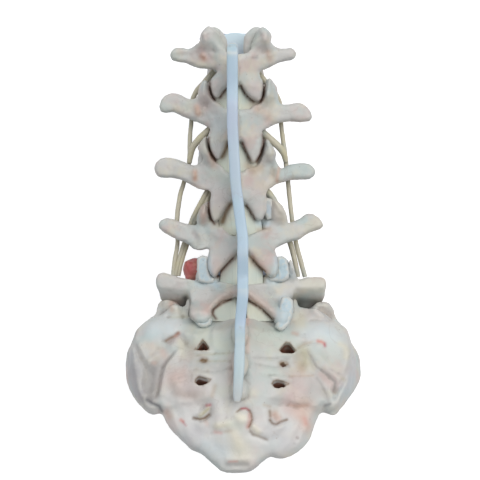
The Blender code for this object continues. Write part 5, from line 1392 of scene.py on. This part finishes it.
# Pixels of the photograph, depth and radius along each cord
NERVES = {
    "l1_left": (
        ((214, 71, 9, 1.5), (208, 78, 8, 1.7), (203, 84, 7, 1.6), (196, 92, 5, 1.5), (191.8, 104, 3, 1.4),
         (191.5, 120, 1.5, 1.3), (190, 136, 1.4, 1.3), (189, 162, 1.4, 1.3), (184, 182, 1.3, 1.3),
         (180, 196, 1.5, 1.4), (177, 219, 2.5, 1.4), (177.6, 242, 3, 1.3), (174.5, 262, 4, 1.3),
         (173, 276, 4.5, 1.2)),
    ),
    "l1_right": (
        ((256, 70, 9, 1.5), (260, 75, 8, 1.7), (266.5, 83, 7, 1.6), (275, 93, 5, 1.5),
         (280.5, 106, 3, 1.4), (281, 123, 1.5, 1.3), (284, 147, 1.4, 1.4), (286, 163.5, 1.4, 1.4),
         (288, 182, 1.4, 1.4), (292, 219, 2.5, 1.3), (296, 243, 3, 1.3), (301, 262, 4, 1.4),
         (305, 277, 4.5, 1.3)),
    ),
    "l2_left": (
        ((214, 124, 5, 2.0), (209.7, 129.5, 7, 2.1), (201, 137.5, 7.5, 2.1), (193.6, 146, 6, 1.9),
         (190.5, 155, 4.5, 1.7), (189.6, 163, 3.2, 1.3)),
    ),
    "l2_right": (
        ((258, 128, 5, 2.1), (262.5, 132.5, 7, 2.2), (270, 139, 7.5, 2.2), (278, 146, 6.5, 2.1),
         (283.5, 153, 5, 1.9), (286, 162, 3, 1.4)),
    ),
    "l3_left": (
        ((211, 186, 5, 1.6), (207.5, 191, 7, 1.6), (202, 201, 7.5, 1.6), (195.6, 213, 6.5, 1.6),
         (191, 223.5, 4, 1.5), (184.4, 243, 3, 1.4), (178.6, 262, 4, 1.3), (175.6, 276, 4.5, 1.2)),
        ((213, 189, 5, 1.6), (210, 194, 6.5, 1.6), (205, 204, 7, 1.6), (198.5, 215, 6, 1.6),
         (193.6, 225, 3.6, 1.5), (187, 244, 2.6, 1.4), (181.4, 262, 3.6, 1.3), (178.4, 276, 4.2, 1.2)),
    ),
    "l3_right": (
        ((263, 188, 5, 2.1), (268, 192.5, 7, 2.1), (275, 203, 7, 2.0), (283, 222, 5, 1.8),
         (291, 245.6, 3.5, 1.6), (295, 262, 4, 1.5), (298, 277, 4.5, 1.3)),
    ),
}
SAC_RADIUS = 5.5
SAC_BACK = 26
SAC_END = (4, -5)


def cord(name, knots, sides=20):
    """Round cord on a smooth curve through knots of x, c, p and radius, with rounded ends."""
    path = smooth_path(knots, 0.9)
    rings = []
    for point, (centre, along) in zip(path, headings([Vector(point[:3]) for point in path])):
        wide = along.cross(Vector((0, 0, 1))).normalized()
        deep = wide.cross(along)
        rings.append([centre + (wide * u + deep * v) * float(point[3]) for u, v in ring_points(sides)])
    bm = bmesh.new()
    loft(bm, rings)
    return draft(bm, name)


for name, strands in NERVES.items():
    cords = [cord("strand", [(*seen_at(px, py, Matrix(), p), radius) for px, py, p, radius in strand])
             for strand in strands]
    nerve = join("cord_" + name, cords)
    grain(nerve, 3.0, 0.35)
    lay(nerve, Matrix(), nerve_material, "nerve", "nerve_" + name)

knots = [(*(places[level.name] @ Vector((0, 0, SAC_BACK))), SAC_RADIUS) for level in reversed(LEVELS)]
knots += [(*(places["sacrum"] @ Vector((0, c, SAC_BACK))), SAC_RADIUS) for c in SAC_END]
sac = cord("cord_sac", knots, 40)
grain(sac, 5.0, 0.3)
lay(sac, Matrix(), nerve_material, "nerve", "dural_sac")


# Table and light
# A plain white table under the model, a broad soft light above and behind the camera, and an
# even sky.

TABLE_SIZE = 6.0
TABLE_GLOW = 0.82            # what brings the table to white where the camera or a gloss sees it
LIGHTS = (("key light", (0.42, 0.2, 1.0), 0.75, 6.6, (1.0, 0.985, 0.965)),
          ("fill light", (-0.7, 0.5, 1.0), 1.0, 3.4, (0.97, 0.985, 1.0)))
SKY_COLOUR = (0.93, 0.96, 1.0, 1)
SKY_STRENGTH = 0.4

bpy.ops.mesh.primitive_plane_add(size=TABLE_SIZE)
table = bpy.context.object
table.name = "table"
material, tree, shader = new_material("Table", 0.7)
shader["Base Color"].default_value = (0.5, 0.5, 0.51, 1)
shader["Emission Color"].default_value = (1, 1, 1, 1)
rays = node(tree, "LightPath")
seen = maths(tree, "MAXIMUM", rays["Is Camera Ray"], rays["Is Glossy Ray"])
tree.links.new(maths(tree, "MULTIPLY", seen, TABLE_GLOW), shader["Emission Strength"])
table.data.materials.append(material)

for name, spot, size, power, tint in LIGHTS:
    bpy.ops.object.light_add(type="AREA", location=spot)
    light = bpy.context.object
    light.name = name
    light.data.size = size
    light.data.energy = power
    light.data.color = tint
    light.rotation_euler = (-Vector(spot)).to_track_quat("-Z", "Y").to_euler()

world = bpy.data.worlds.new("Studio")
bpy.context.scene.world = world
world.use_nodes = True
sky = world.node_tree.nodes["Background"].inputs
sky["Color"].default_value = SKY_COLOUR
sky["Strength"].default_value = SKY_STRENGTH
bpy.context.scene.view_settings.view_transform = "Standard"
